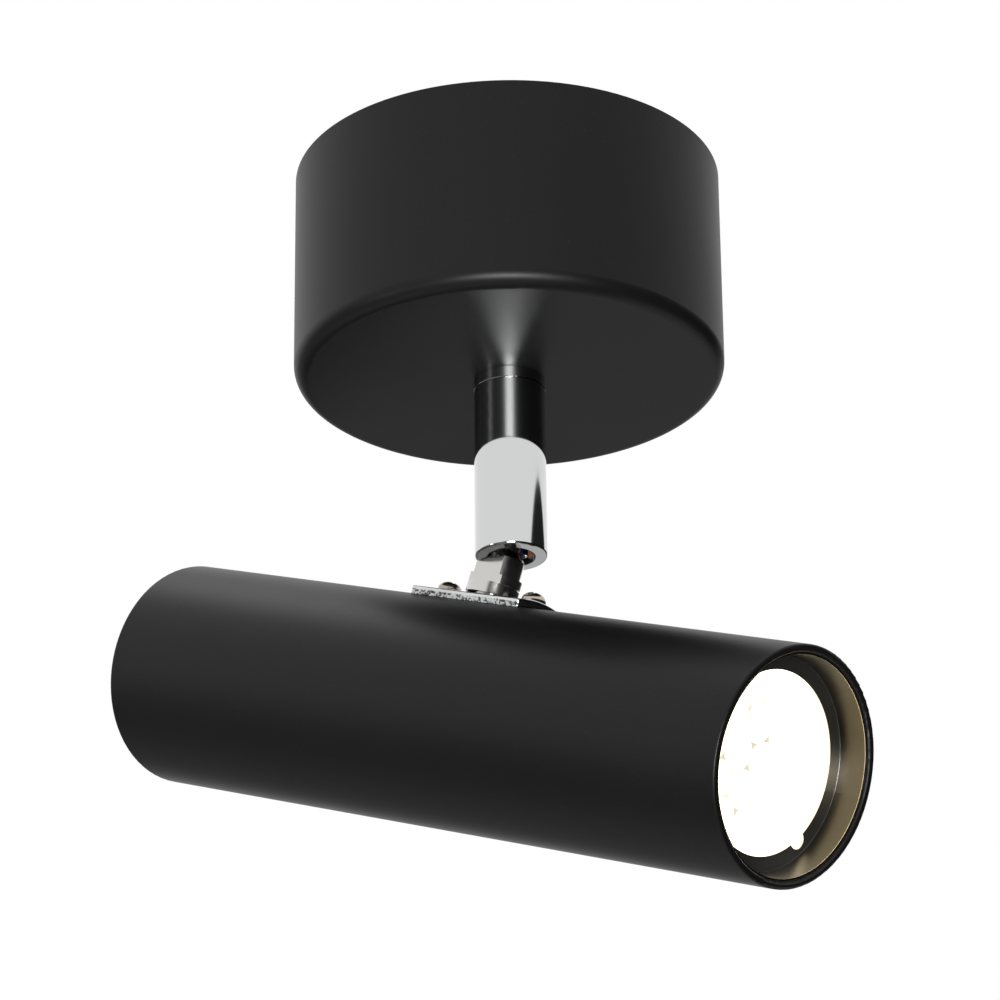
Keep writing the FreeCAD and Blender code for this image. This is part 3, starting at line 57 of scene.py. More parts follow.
class Graph:
    """Short calls for building a node tree."""

    def __init__(self, tree):
        self.tree = tree
        tree.nodes.clear()

    def node(self, kind, inputs=None, **settings):
        made = self.tree.nodes.new(kind)
        for name, value in settings.items():
            setattr(made, name, value)
        for name, value in (inputs or {}).items():
            self.feed(made.inputs[name], value)
        return made

    def feed(self, socket, value):
        if isinstance(value, bpy.types.NodeSocket):
            self.tree.links.new(value, socket)
        else:
            socket.default_value = value

    def math(self, operation, first, second=0.0, third=0.0):
        made = self.node("ShaderNodeMath", {0: first, 1: second, 2: third}, operation=operation)
        return made.outputs[0]

    def product(self, first, second):
        made = self.node("ShaderNodeVectorMath", {0: first, 1: second}, operation="MULTIPLY")
        return made.outputs["Vector"]

    def dot(self, first, second):
        made = self.node("ShaderNodeVectorMath", {0: first, 1: second}, operation="DOT_PRODUCT")
        return made.outputs["Value"]

    def scaled(self, first, factor):
        made = self.node("ShaderNodeVectorMath", {0: first, "Scale": factor}, operation="SCALE")
        return made.outputs["Vector"]

    def band(self, value, low, high):
        """0 below low, 1 above high, smooth between."""
        made = self.node("ShaderNodeMapRange", {
            "Value": value, "From Min": low, "From Max": high}, interpolation_type="SMOOTHSTEP")
        return made.outputs["Result"]

    def blend(self, factor, first, second):
        """The first colour where the factor is 0, the second where it is 1."""
        made = self.node("ShaderNodeMix", {0: factor, 6: first, 7: second}, data_type="RGBA")
        return made.outputs[2]

    def noise(self, place, scale, detail):
        made = self.node("ShaderNodeTexNoise", {
            "Vector": place, "Scale": scale, "Detail": detail})
        return made.outputs["Fac"]

    def effect(self, tree, inputs):
        """A shared effect with its inputs set; gives its outputs."""
        return self.node("ShaderNodeGroup", inputs, node_tree=tree).outputs

    def attribute(self, name):
        return self.node("ShaderNodeAttribute", attribute_name=name).outputs["Fac"]

    def place(self):
        return self.node("ShaderNodeTexCoord").outputs["Object"]

    def bump(self, height, strength, distance):
        return self.node("ShaderNodeBump", {
            "Height": height, "Strength": strength, "Distance": distance}).outputs["Normal"]


def effect_group(name, inputs, outputs):
    """An empty shader node group with named sockets, and the graph to fill it with."""
    tree = bpy.data.node_groups.new(name, "ShaderNodeTree")
    kinds = {"colour": "NodeSocketColor", "value": "NodeSocketFloat", "vector": "NodeSocketVector"}
    for label, kind, start in inputs:
        socket = tree.interface.new_socket(label, in_out="INPUT", socket_type=kinds[kind])
        if start is not None:
            socket.default_value = start
    for label, kind in outputs:
        tree.interface.new_socket(label, in_out="OUTPUT", socket_type=kinds[kind])
    graph = Graph(tree)
    return tree, graph, graph.node("NodeGroupInput").outputs, graph.node("NodeGroupOutput").inputs


def sprayed_enamel_group():
    """Sprayed paint: orange peel, clouds of gloss and settled dust."""
    tree, g, given, out = effect_group("SprayedEnamel", [
        ("Place", "vector", None), ("Colour", "colour", (0.02, 0.02, 0.02, 1)),
        ("Roughness", "value", 0.4), ("Peel Scale", "value", 900.0), ("Dust", "value", 0.05)],
        [("Colour", "colour"), ("Roughness", "value"), ("Height", "value")])
    peel = g.noise(given["Place"], given["Peel Scale"], 3.0)
    cloud = g.noise(given["Place"], 28.0, 3.0)
    fine = g.noise(given["Place"], 2600.0, 2.0)
    specks = g.math("MULTIPLY", g.band(fine, 0.68, 0.76), given["Dust"])
    shade = g.math("MULTIPLY_ADD", cloud, 0.3, 0.85)
    tone = g.scaled(given["Colour"], shade)
    g.feed(out["Colour"], g.blend(specks, tone, (0.32, 0.31, 0.29, 1)))
    g.feed(out["Roughness"], g.math("ADD", given["Roughness"],
                                    g.math("MULTIPLY_ADD", cloud, 0.08, -0.04)))
    g.feed(out["Height"], peel)
    return tree


def worked_metal_group():
    """Turned, drawn or plated metal: fine marks along one way, and some dullness in clouds."""
    tree, g, given, out = effect_group("WorkedMetal", [
        ("Place", "vector", None), ("Stretch", "vector", (1200.0, 1200.0, 40.0)),
        ("Colour", "colour", (0.8, 0.8, 0.8, 1)), ("Roughness", "value", 0.2),
        ("Marks", "value", 0.1), ("Grime", "value", 0.1)],
        [("Colour", "colour"), ("Roughness", "value"), ("Height", "value")])
    lines = g.noise(g.product(given["Place"], given["Stretch"]), 1.0, 3.0)
    cloud = g.noise(given["Place"], 70.0, 4.0)
    dull = g.math("MULTIPLY", g.band(cloud, 0.62, 0.38), given["Grime"])
    g.feed(out["Colour"], g.blend(dull, given["Colour"], (0.25, 0.23, 0.2, 1)))
    swing = g.math("MULTIPLY", g.math("SUBTRACT", lines, 0.5), given["Marks"])
    g.feed(out["Roughness"], g.math("ADD", g.math("ADD", given["Roughness"], swing),
                                    g.math("MULTIPLY", dull, 0.5)))
    g.feed(out["Height"], lines)
    return tree


def moulded_group():
    """Moulded plastic, rubber or ceramic: a faint mottle and a fine skin."""
    tree, g, given, out = effect_group("MouldedSkin", [
        ("Place", "vector", None), ("Colour", "colour", (0.8, 0.8, 0.8, 1)),
        ("Roughness", "value", 0.4), ("Mottle", "value", 0.1)],
        [("Colour", "colour"), ("Roughness", "value"), ("Height", "value")])
    cloud = g.noise(given["Place"], 130.0, 3.0)
    skin = g.noise(given["Place"], 1500.0, 2.0)
    shade = g.math("SUBTRACT", 1.0, g.math("MULTIPLY", cloud, given["Mottle"]))
    tone = g.scaled(given["Colour"], shade)
    g.feed(out["Colour"], tone)
    g.feed(out["Roughness"], g.math("ADD", given["Roughness"],
                                    g.math("MULTIPLY_ADD", skin, 0.1, -0.05)))
    g.feed(out["Height"], skin)
    return tree


def edge_wear_and_highlight_group():
    """A mask of sharp edges, where the rounded normal leaves the surface's own: for worn edges and
    painted edge highlights.
    """
    tree, g, given, out = effect_group("EdgeWearAndHighlight", [
        ("Width", "value", 0.0003), ("Amount", "value", 0.5)], [("Mask", "value")])
    rounded = g.node("ShaderNodeBevel", {"Radius": given["Width"]}, samples=6).outputs["Normal"]
    flat = g.node("ShaderNodeNewGeometry").outputs["Normal"]
    corner = g.band(g.dot(rounded, flat), 0.995, 0.85)
    g.feed(out["Mask"], g.math("MULTIPLY", corner, given["Amount"]))
    return tree


SPRAYED = sprayed_enamel_group()
WORKED = worked_metal_group()
MOULDED = moulded_group()
EDGES = edge_wear_and_highlight_group()


def new_material(name):
    """An empty material, and the graph to fill it with."""
    material = bpy.data.materials.new(name)
    material.use_nodes = True
    return material, Graph(material.node_tree)


def finish_material(graph, inputs):
    """Close a material with one Principled shader."""
    shader = graph.node("ShaderNodeBsdfPrincipled", inputs)
    graph.node("ShaderNodeOutputMaterial", {"Surface": shader.outputs["BSDF"]})


def enamel(name, colour, rough, specular):
    """Sprayed enamel whose sharp edges are lighter: partly worn paint, partly a painted highlight.
    """
    material, g = new_material(name)
    skin = g.effect(SPRAYED, {"Place": g.place(), "Colour": (*colour, 1), "Roughness": rough})
    edges = g.effect(EDGES, {"Amount": 0.15})
    # Lighter sharp edges: worn paint together with a painted edge highlight.
    tone = g.blend(edges["Mask"], skin["Colour"], (0.16, 0.16, 0.165, 1))
    finish_material(g, {"Base Color": tone, "Roughness": skin["Roughness"],
                        "Specular IOR Level": specular,
                        "Normal": g.bump(skin["Height"], 0.05, 0.0002)})
    return material


def marks_along(axis):
    """Scales of the working marks: long on the axis, 0 to 2 for X to Z, and fine across it."""
    stretch = [1200.0, 1200.0, 1200.0]
    stretch[axis] = 30.0
    return stretch


def metal(name, colour, rough, marks=0.0, along=2, grime=0.0):
    """Bare or plated metal with its working marks along one axis."""
    material, g = new_material(name)
    skin = g.effect(WORKED, {"Place": g.place(), "Stretch": marks_along(along),
                             "Colour": (*colour, 1), "Roughness": rough, "Marks": marks,
                             "Grime": grime})
    finish_material(g, {"Base Color": skin["Colour"], "Metallic": 1.0,
                        "Roughness": skin["Roughness"],
                        "Normal": g.bump(skin["Height"], 0.02 + marks * 0.4, 0.00005)})
    return material


def moulded(name, colour, rough):
    """Moulded plastic, rubber or ceramic."""
    material, g = new_material(name)
    skin = g.effect(MOULDED, {"Place": g.place(), "Colour": (*colour, 1), "Roughness": rough})
    finish_material(g, {"Base Color": skin["Colour"], "Roughness": skin["Roughness"],
                        "Normal": g.bump(skin["Height"], 0.04, 0.0001)})
    return material


def lit_lens():
    """Lens of the lit lamp: warm light through the lenslets, dim webs between them."""
    material, g = new_material("LampLens")
    skin = g.effect(MOULDED, {"Place": g.place(), "Colour": (0.16, 0.16, 0.15, 1),
                              "Roughness": 0.15, "Mottle": 0.05})
    cloud = g.noise(g.place(), 160.0, 2.0)
    dim = g.blend(g.band(cloud, 0.35, 0.65), (0.08, 0.07, 0.05, 1), (0.27, 0.245, 0.18, 1))
    light = g.blend(g.attribute("web"), (1.0, 0.88, 0.62, 1), dim)
    finish_material(g, {"Base Color": skin["Colour"], "Roughness": skin["Roughness"],
                        "Emission Color": light, "Emission Strength": 3.5,
                        "Normal": g.bump(skin["Height"], 0.04, 0.0001)})
    return material


def dark_ring():
    """Dark anodised ring: its deep wall coloured nearly black as painted shade, its floor greyer,
    and its lip edge coloured warm gold as a painted highlight.
    """
    material, g = new_material("DarkRing")
    along = g.dot(g.place(), (0.0, math.cos(TILT), math.sin(TILT)))
    # Painted shade: the wall, deeper in the mouth than the floor, is coloured nearly black.
    wall = g.band(along, RING_FLOOR - 0.00002, RING_FLOOR - 0.00008)
    lip = g.band(along, RING_FLOOR - 0.0055, RING_FLOOR - 0.0065)
    colour = g.blend(wall, (0.38, 0.375, 0.36, 1), (0.034, 0.030, 0.022, 1))
    skin = g.effect(WORKED, {"Place": g.place(), "Stretch": marks_along(1), "Colour": colour,
                             "Roughness": 0.32, "Marks": 0.1, "Grime": 0.05})
    # Painted highlight: the sharp edge of the lip is coloured warm gold, standing in for lamp
    # light caught there.
    edges = g.effect(EDGES, {"Amount": 0.9})
    painted_lip_highlight = g.math("MULTIPLY", edges["Mask"], lip)
    tone = g.blend(painted_lip_highlight, skin["Colour"], (0.62, 0.55, 0.42, 1))
    finish_material(g, {"Base Color": tone, "Metallic": 1.0, "Roughness": skin["Roughness"],
                        "Normal": g.bump(skin["Height"], 0.06, 0.00005)})
    return material


def sheared_plate():
    """Chromed sheet: bright where it was rolled, dull on its torn edges, which carry painted shade
    that is darkest in their deepest hollows.
    """
    material, g = new_material("ShearedChrome")
    skin = g.effect(WORKED, {"Place": g.place(), "Stretch": marks_along(1),
                             "Colour": (0.66, 0.67, 0.67, 1), "Roughness": 0.1,
                             "Marks": 0.1, "Grime": 0.2})
    torn = g.attribute("torn")
    # Painted shade: the torn face is coloured near black, darkest in its deepest hollows; its
    # dullness is the torn steel's own.
    tone = g.blend(torn, skin["Colour"], (0.03, 0.03, 0.034, 1))
    finish_material(g, {"Base Color": tone, "Metallic": 1.0,
                        "Roughness": g.math("MULTIPLY_ADD", torn, 0.25, skin["Roughness"]),
                        "Normal": g.bump(skin["Height"], 0.06, 0.00005)})
    return material


# ---------------------------------------------------------------- materials

black = enamel("BlackEnamel", (0.003, 0.003, 0.0032), 0.42, specular=0.21)
black_tube = enamel("BlackTube", (0.0028, 0.0028, 0.003), 0.4, specular=0.19)
ring_paint = dark_ring()
chrome = metal("PolishedChrome", (0.63, 0.64, 0.635), 0.03)
sheared_chrome = sheared_plate()
screw_chrome = metal("ScrewChrome", (0.50, 0.44, 0.37), 0.1, 0.05, 0, 0.4)
satin_nickel = metal("SatinNickel", (0.62, 0.61, 0.59), 0.14, 0.08, 2, 0.08)
zinc = metal("ZincPlate", (0.62, 0.62, 0.60), 0.38, 0.12, 0, 0.12)
brass = metal("Brass", (0.78, 0.58, 0.28), 0.25, 0.08, 1, 0.1)
aluminium = metal("CastAluminium", (0.55, 0.55, 0.56), 0.4, 0.1, 0, 0.1)
nylon = moulded("Nylon", (0.83, 0.82, 0.78), 0.5)
white_plastic = moulded("WhitePlastic", (0.82, 0.82, 0.80), 0.35)
ceramic = moulded("Ceramic", (0.80, 0.78, 0.73), 0.6)
rubber = moulded("Rubber", (0.02, 0.02, 0.02), 0.75)
board_green = moulded("DriverBoard", (0.05, 0.22, 0.09), 0.4)
brown_wire = moulded("BrownInsulation", (0.12, 0.045, 0.018), 0.4)
blue_wire = moulded("BlueInsulation", (0.012, 0.06, 0.24), 0.4)
earth_wire = moulded("GreenYellowInsulation", (0.28, 0.5, 0.04), 0.4)
lens = lit_lens()
phosphor = moulded("Phosphor", (0.85, 0.62, 0.12), 0.5)

FINISHES = {
    "ceiling_plate": zinc, "canopy": black, "canopy_side_screws": black, "cable_bush": rubber,
    "terminal_block": white_plastic, "terminal_tubes": brass, "terminal_screws": zinc,
    "terminal_block_screws": zinc, "earth_tag": zinc, "earth_screw": brass,
    "hollow_bolt": zinc, "bolt_nut": zinc, "nut_washer": zinc, "canopy_collar": chrome,
    "swivel_stop_pin": zinc, "slip_washer": nylon, "spring_washer": zinc,
    "swivel_barrel": chrome, "pivot_screw": chrome, "pivot_washer": zinc,
    "knuckle": satin_nickel, "saddle_plate": chrome, "saddle_screws": chrome,
    "lamp_tube": black_tube, "rear_cap": black_tube, "holder_bracket": zinc,
    "lampholder": ceramic, "lampholder_contacts": brass, "lampholder_screws": zinc,
    "tube_earth_tag": zinc, "tube_earth_screw": brass, "front_ring": ring_paint,
    "lamp_housing": aluminium, "lamp_lens": lens, "led_board": aluminium,
    "led_chips": phosphor, "led_driver": board_green, "lamp_base": white_plastic,
    "lamp_pins": brass,
}
WIRES = {"live": brown_wire, "neutral": blue_wire, "earth": earth_wire}
for name, thing in nodes.items():
    chosen = WIRES[name.split("_")[0]] if "_lead_" in name else FINISHES[name]
    thing.data.materials.clear()
    thing.data.materials.append(chosen)

# ---------------------------------------------------------------- pieces shaped for the eye


def hang(points):
    """Place points of the tube's frame in the room, in metres.

    Each point is turned about X by the tilt and moved so that the knuckle's eye meets the pivot:
    y' = y cos t - z sin t + drop sin t, z' = y sin t + z cos t + pivot - drop cos t.
    """
    across, along, up = np.moveaxis(np.asarray(points, float), -1, 0)
    cos, sin = math.cos(TILT), math.sin(TILT)
    return MM * np.stack([
        across, along * cos - up * sin + AXIS_DROP * sin,
        along * sin + up * cos + PIVOT_HEIGHT - AXIS_DROP * cos], axis=-1)


def smooth_step(low, high, value):
    """0 up to low, 1 from high on, and 3t^2 - 2t^3 between."""
    t = np.clip((value - low) / (high - low), 0.0, 1.0)
    return t * t * (3.0 - 2.0 * t)


def lumps(first, second, seed):
    """Smooth random heights 0..1: lattice values at whole numbers, blended between them."""
    values = np.random.default_rng(seed).random((512, 512))
    i, j = np.floor(first).astype(int), np.floor(second).astype(int)
    u, v = smooth_step(0, 1, first - i), smooth_step(0, 1, second - j)
    corner = [values[(i + a) % 512, (j + b) % 512] for a in (0, 1) for b in (0, 1)]
    return ((corner[0] * (1 - v) + corner[1] * v) * (1 - u)
            + (corner[2] * (1 - v) + corner[3] * v) * u)


def band_faces(rings, around):
    """Four-sided faces between each ring of points and the next, closed round the loop."""
    row = np.arange(rings - 1)[:, None] * around
    here = np.arange(around)[None, :]
    after = (here + 1) % around
    quads = np.stack([row + here, row + after, row + around + after, row + around + here], -1)
    return quads.reshape(-1, 4)


def fan_faces(start, around, pole):
    """Triangles from one ring of points to its pole."""
    here = np.arange(around)
    return np.stack([start + here, start + (here + 1) % around, np.full(around, pole)], -1)


def closed_faces(rings, around):
    """Faces of rings of points that are closed by two poles, which come after them."""
    first_pole = rings * around
    return (band_faces(rings, around).tolist()
            + fan_faces(0, around, first_pole)[:, ::-1].tolist()
            + fan_faces(first_pole - around, around, first_pole + 1).tolist())


def make_piece(name, points, faces, finish, body, crease):
    """Put a closed surface into the scene: faces outwards, smooth except at creases.

    A negative volume about the origin, summed over the triangles, says that the faces look in.
    """
    tripled = np.array([(f[0], f[k], f[k + 1]) for f in faces for k in range(1, len(f) - 1)])
    a, b, c = points[tripled[:, 0]], points[tripled[:, 1]], points[tripled[:, 2]]
    if np.einsum("ij,ij->i", a, np.cross(b, c)).sum() < 0:
        faces = [face[::-1] for face in faces]
    mesh = bpy.data.meshes.new(name)
    mesh.from_pydata(points.tolist(), [], faces)
    mesh.polygons.foreach_set("use_smooth", np.ones(len(mesh.polygons), bool))
    mesh.set_sharp_from_angle(angle=math.radians(crease))
    mesh.materials.append(finish)
    mesh.update()
    piece = bpy.data.objects.new(name, mesh)
    scene.collection.objects.link(piece)
    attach(piece, body)
    return piece


def make_saddle_strap():
    """Saddle plate: an arc strip 18 wide carried along the tube for 35.4.

    Across, the top follows z = sqrt(29.5^2 - x^2) and the underside z = sqrt(27.53^2 - x^2).
    The two long edges are sheared: a smooth rolled band on top, and under it a torn face that
    random lumps push in by up to 0.19. An attribute named torn holds painted shade, darkest in
    hollows.
    """
    half_width, half_length, bevel = 9.0, 17.7, 0.16
    underside, middle = 27.53, 28.5         # radii from the tube's axis
    flat_steps, edge_steps, length_steps = 44, 16, 300
    tiny = 1e-6
    across = np.linspace(-half_width + bevel, half_width - bevel, flat_steps)
    drop = np.linspace(0.0, 1.0, edge_steps)
    edge_top = math.sqrt(SADDLE_TOP ** 2 - half_width ** 2) - bevel
    edge_base = math.sqrt(underside ** 2 - half_width ** 2) + bevel / 2
    edge_up = edge_top + (edge_base - edge_top) * drop
    loop_x = np.concatenate([across, np.full(edge_steps, half_width), across[::-1],
                             np.full(edge_steps, -half_width)])
    loop_z = np.concatenate([np.sqrt(SADDLE_TOP ** 2 - across ** 2), edge_up,
                             np.sqrt(underside ** 2 - across[::-1] ** 2), edge_up[::-1]])
    fall = np.concatenate([np.zeros(flat_steps), drop, np.zeros(flat_steps), drop[::-1]])
    on_edge = np.abs(loop_x) > half_width - tiny
    inner_length = half_length - bevel
    along = np.concatenate([[-half_length], np.linspace(-inner_length, inner_length, length_steps),
                            [half_length]])
    y, x = np.meshgrid(along, loop_x, indexing="ij")
    z = np.broadcast_to(loop_z, x.shape).copy()
    down = np.broadcast_to(fall, x.shape)
    side = np.sign(x)

    # The rolled band ends at a wandering line. Under it the torn face has coarse and fine lumps,
    # and marks run down the whole cut.
    wander = 0.12 * (lumps(y * 1.1, np.full_like(x, 7), 3) - 0.5)
    torn = smooth_step(0.28, 0.42, down + wander)
    coarse = lumps(y * 2.1 + 40, down * 4.0 + side * 9, 5)
    fine = lumps(y * 4.7 + 90, down * 7.0 + side * 5, 8)
    rough = 0.6 * coarse + 0.4 * fine
    combed = 0.02 * lumps(y * 5.5 + 200, np.full_like(x, 3), 11)
    push = np.where(on_edge, combed + torn * (0.02 + 0.15 * rough), 0.0)
    # Painted shade for the torn face, darkest where the lumps push in deepest.
    pit_shade = np.where(on_edge, torn * (0.22 + 0.75 * smooth_step(0.40, 0.68, rough)), 0.0)

    # the two end rings shrink by the bevel, at the sides and in thickness
    ends = np.where(np.abs(y) > half_length - tiny, bevel, 0.0)
    x = x - side * (push + np.where(on_edge, ends, 0.0))
    thinner = np.clip(np.hypot(x, z) - middle, -1, 1) * ends
    z = z - np.where(on_edge, 0.0, thinner)
    points = hang(np.stack([x, y, z], -1)).reshape(-1, 3)
    rings, around = x.shape
    faces = band_faces(rings, around).tolist()
    faces.append(list(range(around))[::-1])
    faces.append(list(range((rings - 1) * around, rings * around)))
    piece = make_piece("saddle_strap", points, faces, sheared_chrome, "head", 40.0)
    piece.data.attributes.new("torn", "FLOAT", "POINT").data.foreach_set(
        "value", pit_shade.astype(np.float32).ravel())
    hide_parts("saddle_plate")


def screw_surface(centre_along, turn):
    """Pan head screw as rings of points from its crown to the end of its shank.

    The crown is z = 0.5 + 1.9 (1 - (r / 3)^2.6)^0.7, less a cross recess whose depth falls
    from the middle to the ends of its arms, with walls 0.14 wide.
    """
    head_radius, shank_radius, shank_end, chamfer = 3.0, 1.5, 6.4, 0.2
    lift, rim_round, around = 0.03, 0.07, 144
    radius = np.concatenate([np.linspace(0.06, 1.95, 40), np.linspace(2.02, 2.98, 14)])
    angle = np.linspace(0, 2 * np.pi, around, endpoint=False)
    r, a = np.meshgrid(radius, angle, indexing="ij")
    crown = 0.5 + 1.9 * np.maximum(1 - (r / head_radius) ** 2.6, 0) ** 0.7
    from_arm = np.minimum(np.abs(r * np.cos(a - turn)), np.abs(r * np.sin(a - turn)))
    half_arm, half_wall, depth = 0.5 - 0.08 * r, 0.07, 1.45 - 0.42 * r
    in_arm = 1 - smooth_step(half_arm - half_wall, half_arm + half_wall, from_arm)
    in_reach = 1 - smooth_step(1.68, 1.86, r)
    crown -= in_arm * in_reach * depth
    outline = [(head_radius, 0.42), (head_radius, 0.1), (head_radius - rim_round, lift),
               (shank_radius, lift), (shank_radius, -shank_end),
               (shank_radius - chamfer, -shank_end - chamfer)]
    rings = [np.stack([r * np.cos(a), r * np.sin(a), crown], -1)]
    for size, height in outline:
        rings.append(np.stack([size * np.cos(angle), size * np.sin(angle),
                               np.full(around, height)], -1)[None])
    shape = np.concatenate(rings)
    poles = np.array([[0, 0, crown[0].mean()], [0, 0, -shank_end - chamfer]])
    local = np.concatenate([shape.reshape(-1, 3), poles])
    local += np.array([0, centre_along, SADDLE_TOP])
    return hang(local), closed_faces(len(shape), around)


def make_saddle_screws():
    """The two cross recessed screws of the saddle."""
    for name, along, turn in (("front", -14.0, 0.35), ("rear", 14.0, 1.1)):
        points, faces = screw_surface(along, turn)
        piece = make_piece(f"saddle_screw_{name}", points, faces, screw_chrome, "head",
                           32.0)
        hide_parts("saddle_screws")


def make_lens():
    """Lamp lens: a disc with nineteen domed lenslets in a honeycomb.

    The face is a polar grid. Where the nearest honeycomb centre is closer than 4.3 the surface
    is that lenslet's dome, 0.8 (1 - (d / 4.3)^2) high with fine rings on it, and elsewhere it is
    the web between them, 0.3 below. Outside a radius of 22.2 the face is flat. An attribute named
    web says how dim a point looks: full in the inner webs at -X, fading towards +X and gone
    towards the rim.
    """
    disc_radius, seat, thick, pitch, reach = 23.25, -95.8, 2.0, 8.8, 4.3
    dome_height, web_depth, front_round, back_round, around = 0.8, 0.3, 0.12, 0.1, 320
    radius = np.linspace(0.25, disc_radius - front_round, 92)
    angle = np.linspace(0, 2 * np.pi, around, endpoint=False)
    r, a = np.meshgrid(radius, angle, indexing="ij")
    x, z = r * np.cos(a), r * np.sin(a)
    row, column = np.meshgrid(np.arange(-2, 3), np.arange(-2, 3), indexing="ij")
    kept = np.abs(row + column) <= 2
    centre_x = (pitch * (column + row / 2))[kept]
    centre_z = (pitch * row * math.cos(math.radians(30)))[kept]
    nearest = np.hypot(x[..., None] - centre_x, z[..., None] - centre_z).min(axis=-1)
    web = smooth_step(reach - 0.2, reach + 0.2, nearest)
    dome = dome_height * (1 - (np.minimum(nearest, reach) / reach) ** 2)
    fine_rings = 0.02 * np.cos(nearest * 2 * np.pi / 0.7) * (1 - web)
    inside = 1 - smooth_step(21.6, 22.2, r)
    front = seat - (dome + fine_rings) * inside + web_depth * web * inside
    rings = [np.stack([x, front, z], -1)]
    for size, level in ((disc_radius, seat + front_round),
                        (disc_radius, seat + thick - back_round),
                        (disc_radius - back_round, seat + thick)):
        rings.append(np.stack([size * np.cos(angle), np.full(around, level),
                               size * np.sin(angle)], -1)[None])
    shape = np.concatenate(rings)
    poles = np.array([[0, front[0].mean(), 0], [0, seat + thick, 0]])
    points = hang(np.concatenate([shape.reshape(-1, 3), poles]))
    piece = make_piece("lamp_front_lens", points, closed_faces(len(shape), around), lens,
                       "lamp", 60.0)
    inner = 1 - smooth_step(15.5, 17.5, r)
    left = 1 - smooth_step(-2.0, 9.0, x)
    uneven = 0.88 + 0.12 * lumps(x / 5 + 40, z / 5 + 40, 2)
    mask = np.zeros(len(points), np.float32)
    mask[:x.size] = (web * inner * left * uneven).ravel()
    piece.data.attributes.new("web", "FLOAT", "POINT").data.foreach_set("value", mask)
    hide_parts("lamp_lens")


make_saddle_strap()
make_saddle_screws()
make_lens()

# ---------------------------------------------------------------- light and stage

# The chrome mirrors one dark flag with an arched top. Angles are in degrees, from +X and from
# the horizon.
FLAG_AZIMUTH = -42.0            # the arch's crown
FLAG_TOP = 24.65                # height of the crown
FLAG_HALF_WIDTH = 31.5          # to either side of the crown
FLAG_FALL = 0.79                # how much lower the top is there; the fall grows as the square
FLAG_SIDES = (-160.0, 8.0)      # azimuths where it ends
FLAG_SOFTNESS = (8.0, 3.0)      # degrees of blur to each side of those ends
FLAG_DARKNESS = 0.985
FILL_LEVEL = 0.7                # the light that falls on dull surfaces
HORIZON_GLOW = 0.22             # what gloss sees under the horizon, beside the floor
HORIZON_BAND = (-4.0, 2.0)      # elevations between which the sky fades to that glow
FLOOR_HEIGHT = -1.5
FLOOR_REACH = ((-0.6, 4.0), (-0.6, 2.5))


def make_world():
    """White studio: the camera sees plain white, gloss sees white with one dark flag in it,
    and every other ray finds an even soft fill."""
    world = bpy.data.worlds.new("StudioWorld")
    world.use_nodes = True
    scene.world = world
    g = Graph(world.node_tree)
    way = g.node("ShaderNodeTexCoord").outputs["Generated"]
    parts = g.node("ShaderNodeSeparateXYZ", {"Vector": way}).outputs
    turned = g.node("ShaderNodeVectorRotate", {
        "Vector": way, "Angle": math.radians(-FLAG_AZIMUTH)},
        rotation_type="Z_AXIS").outputs["Vector"]
    side = g.node("ShaderNodeSeparateXYZ", {"Vector": turned}).outputs
    to_degrees = 180 / math.pi
    azimuth = g.math("MULTIPLY", g.math("ARCTAN2", side["Y"], side["X"]), to_degrees)
    height = g.math("MULTIPLY", g.math("ARCSINE", parts["Z"]), to_degrees)

    swing = g.math("DIVIDE", azimuth, FLAG_HALF_WIDTH)
    fall = g.math("MULTIPLY", g.math("MULTIPLY", swing, swing), FLAG_FALL)
    top = g.math("SUBTRACT", FLAG_TOP, fall)
    below = g.band(g.math("SUBTRACT", top, height), -0.05, 0.05)
    low, high = (limit - FLAG_AZIMUTH for limit in FLAG_SIDES)
    low_blur, high_blur = FLAG_SOFTNESS
    within = g.math("MULTIPLY", g.band(azimuth, low - low_blur, low + low_blur),
                    g.band(azimuth, high + high_blur, high - high_blur))
    flag = g.math("MULTIPLY", below, within)

    path = g.node("ShaderNodeLightPath").outputs
    mirrored = g.math("MAXIMUM", path["Is Glossy Ray"], path["Is Transmission Ray"])
    sky = g.math("MULTIPLY_ADD", g.band(height, *HORIZON_BAND), 1.0 - HORIZON_GLOW, HORIZON_GLOW)
    seen = g.math("MULTIPLY", sky, g.math("MULTIPLY_ADD", flag, -FLAG_DARKNESS, 1.0))
    glow = g.math("MULTIPLY_ADD", mirrored, g.math("SUBTRACT", seen, 1.0), 1.0)
    white = g.node("ShaderNodeBackground", {"Color": (1, 1, 1, 1), "Strength": glow})
    soft = g.node("ShaderNodeBackground", {"Color": (1, 1, 1, 1), "Strength": FILL_LEVEL})
    mix = g.node("ShaderNodeMixShader", {
        0: g.math("MAXIMUM", path["Is Camera Ray"], mirrored),
        1: soft.outputs["Background"], 2: white.outputs["Background"]})
    g.node("ShaderNodeOutputWorld", {"Surface": mix.outputs["Shader"]})


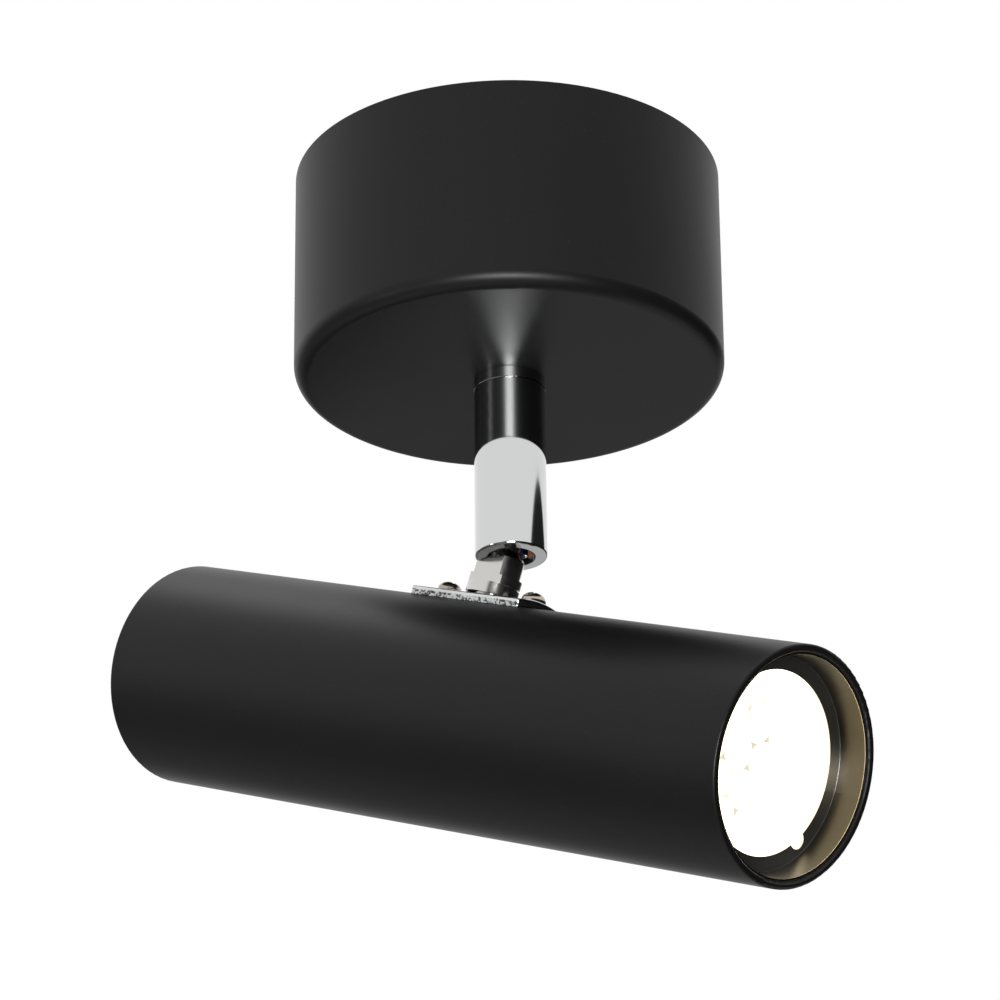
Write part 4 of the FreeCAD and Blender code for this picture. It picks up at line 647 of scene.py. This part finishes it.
def make_floor():
    """Pale room floor well under the lamp: a square sheet at one height."""
    across, along = np.meshgrid(*FLOOR_REACH)
    points = np.stack([across.ravel(), along.ravel(), np.full(4, FLOOR_HEIGHT)], axis=1)
    mesh = bpy.data.meshes.new("StudioFloor")
    mesh.from_pydata(points.tolist(), [], [(0, 1, 3, 2)])
    mesh.update()
    floor = bpy.data.objects.new("StudioFloor", mesh)
    scene.collection.objects.link(floor)
    material, g = new_material("FloorPaint")
    grey = g.math("MULTIPLY_ADD", g.noise(g.place(), 3.0, 4.0), 0.04, 0.72)
    paint = g.node("ShaderNodeCombineColor", {"Red": grey, "Green": grey, "Blue": grey})
    finish_material(g, {"Base Color": paint.outputs["Color"], "Roughness": 0.9,
                        "Specular IOR Level": 0.1})
    mesh.materials.append(material)


def softbox(name, place, target, width, height, watts):
    """A rectangular lamp at a place, facing a target, in metres and watts."""
    light = bpy.data.lights.new(name, "AREA")
    light.shape = "RECTANGLE"
    light.size, light.size_y = width, height
    light.energy = watts
    holder = bpy.data.objects.new(name, light)
    direction = Vector(target) - Vector(place)
    holder.matrix_world = Matrix.Translation(place) @ direction.to_track_quat(
        "-Z", "Y").to_matrix().to_4x4()
    scene.collection.objects.link(holder)


def make_camera():
    """The photograph's camera, from its right, up and forward directions."""
    data = bpy.data.cameras.new("PhotoCamera")
    data.sensor_width = 36.0
    data.lens = 160.09
    data.clip_start, data.clip_end = 0.05, 20.0
    camera = bpy.data.objects.new("PhotoCamera", data)
    right = Vector((0.642822, -0.765958, -0.009386))
    up = Vector((-0.310810, -0.272004, 0.910720))
    forward = Vector((0.700126, 0.582514, 0.412918))
    turn = Matrix((right, up, -forward)).transposed().to_4x4()
    camera.matrix_world = Matrix.Translation((-0.75115, -0.62162, -0.52795)) @ turn
    scene.collection.objects.link(camera)
    scene.camera = camera


make_world()
make_floor()
make_camera()
softbox("KeyLight", (-0.15, 0.7, 1.85), (0.0, -0.02, -0.1), 0.9, 0.9, 3.5)
softbox("FrontLight", (-0.93, -0.77, -0.62), (0.0, 0.0, -0.06), 0.5, 0.35, 24)
softbox("SideLight", (-1.25, 0.61, -0.66), (0.0, 0.0, -0.06), 0.14, 0.5, 2)
scene.view_settings.view_transform = "Standard"
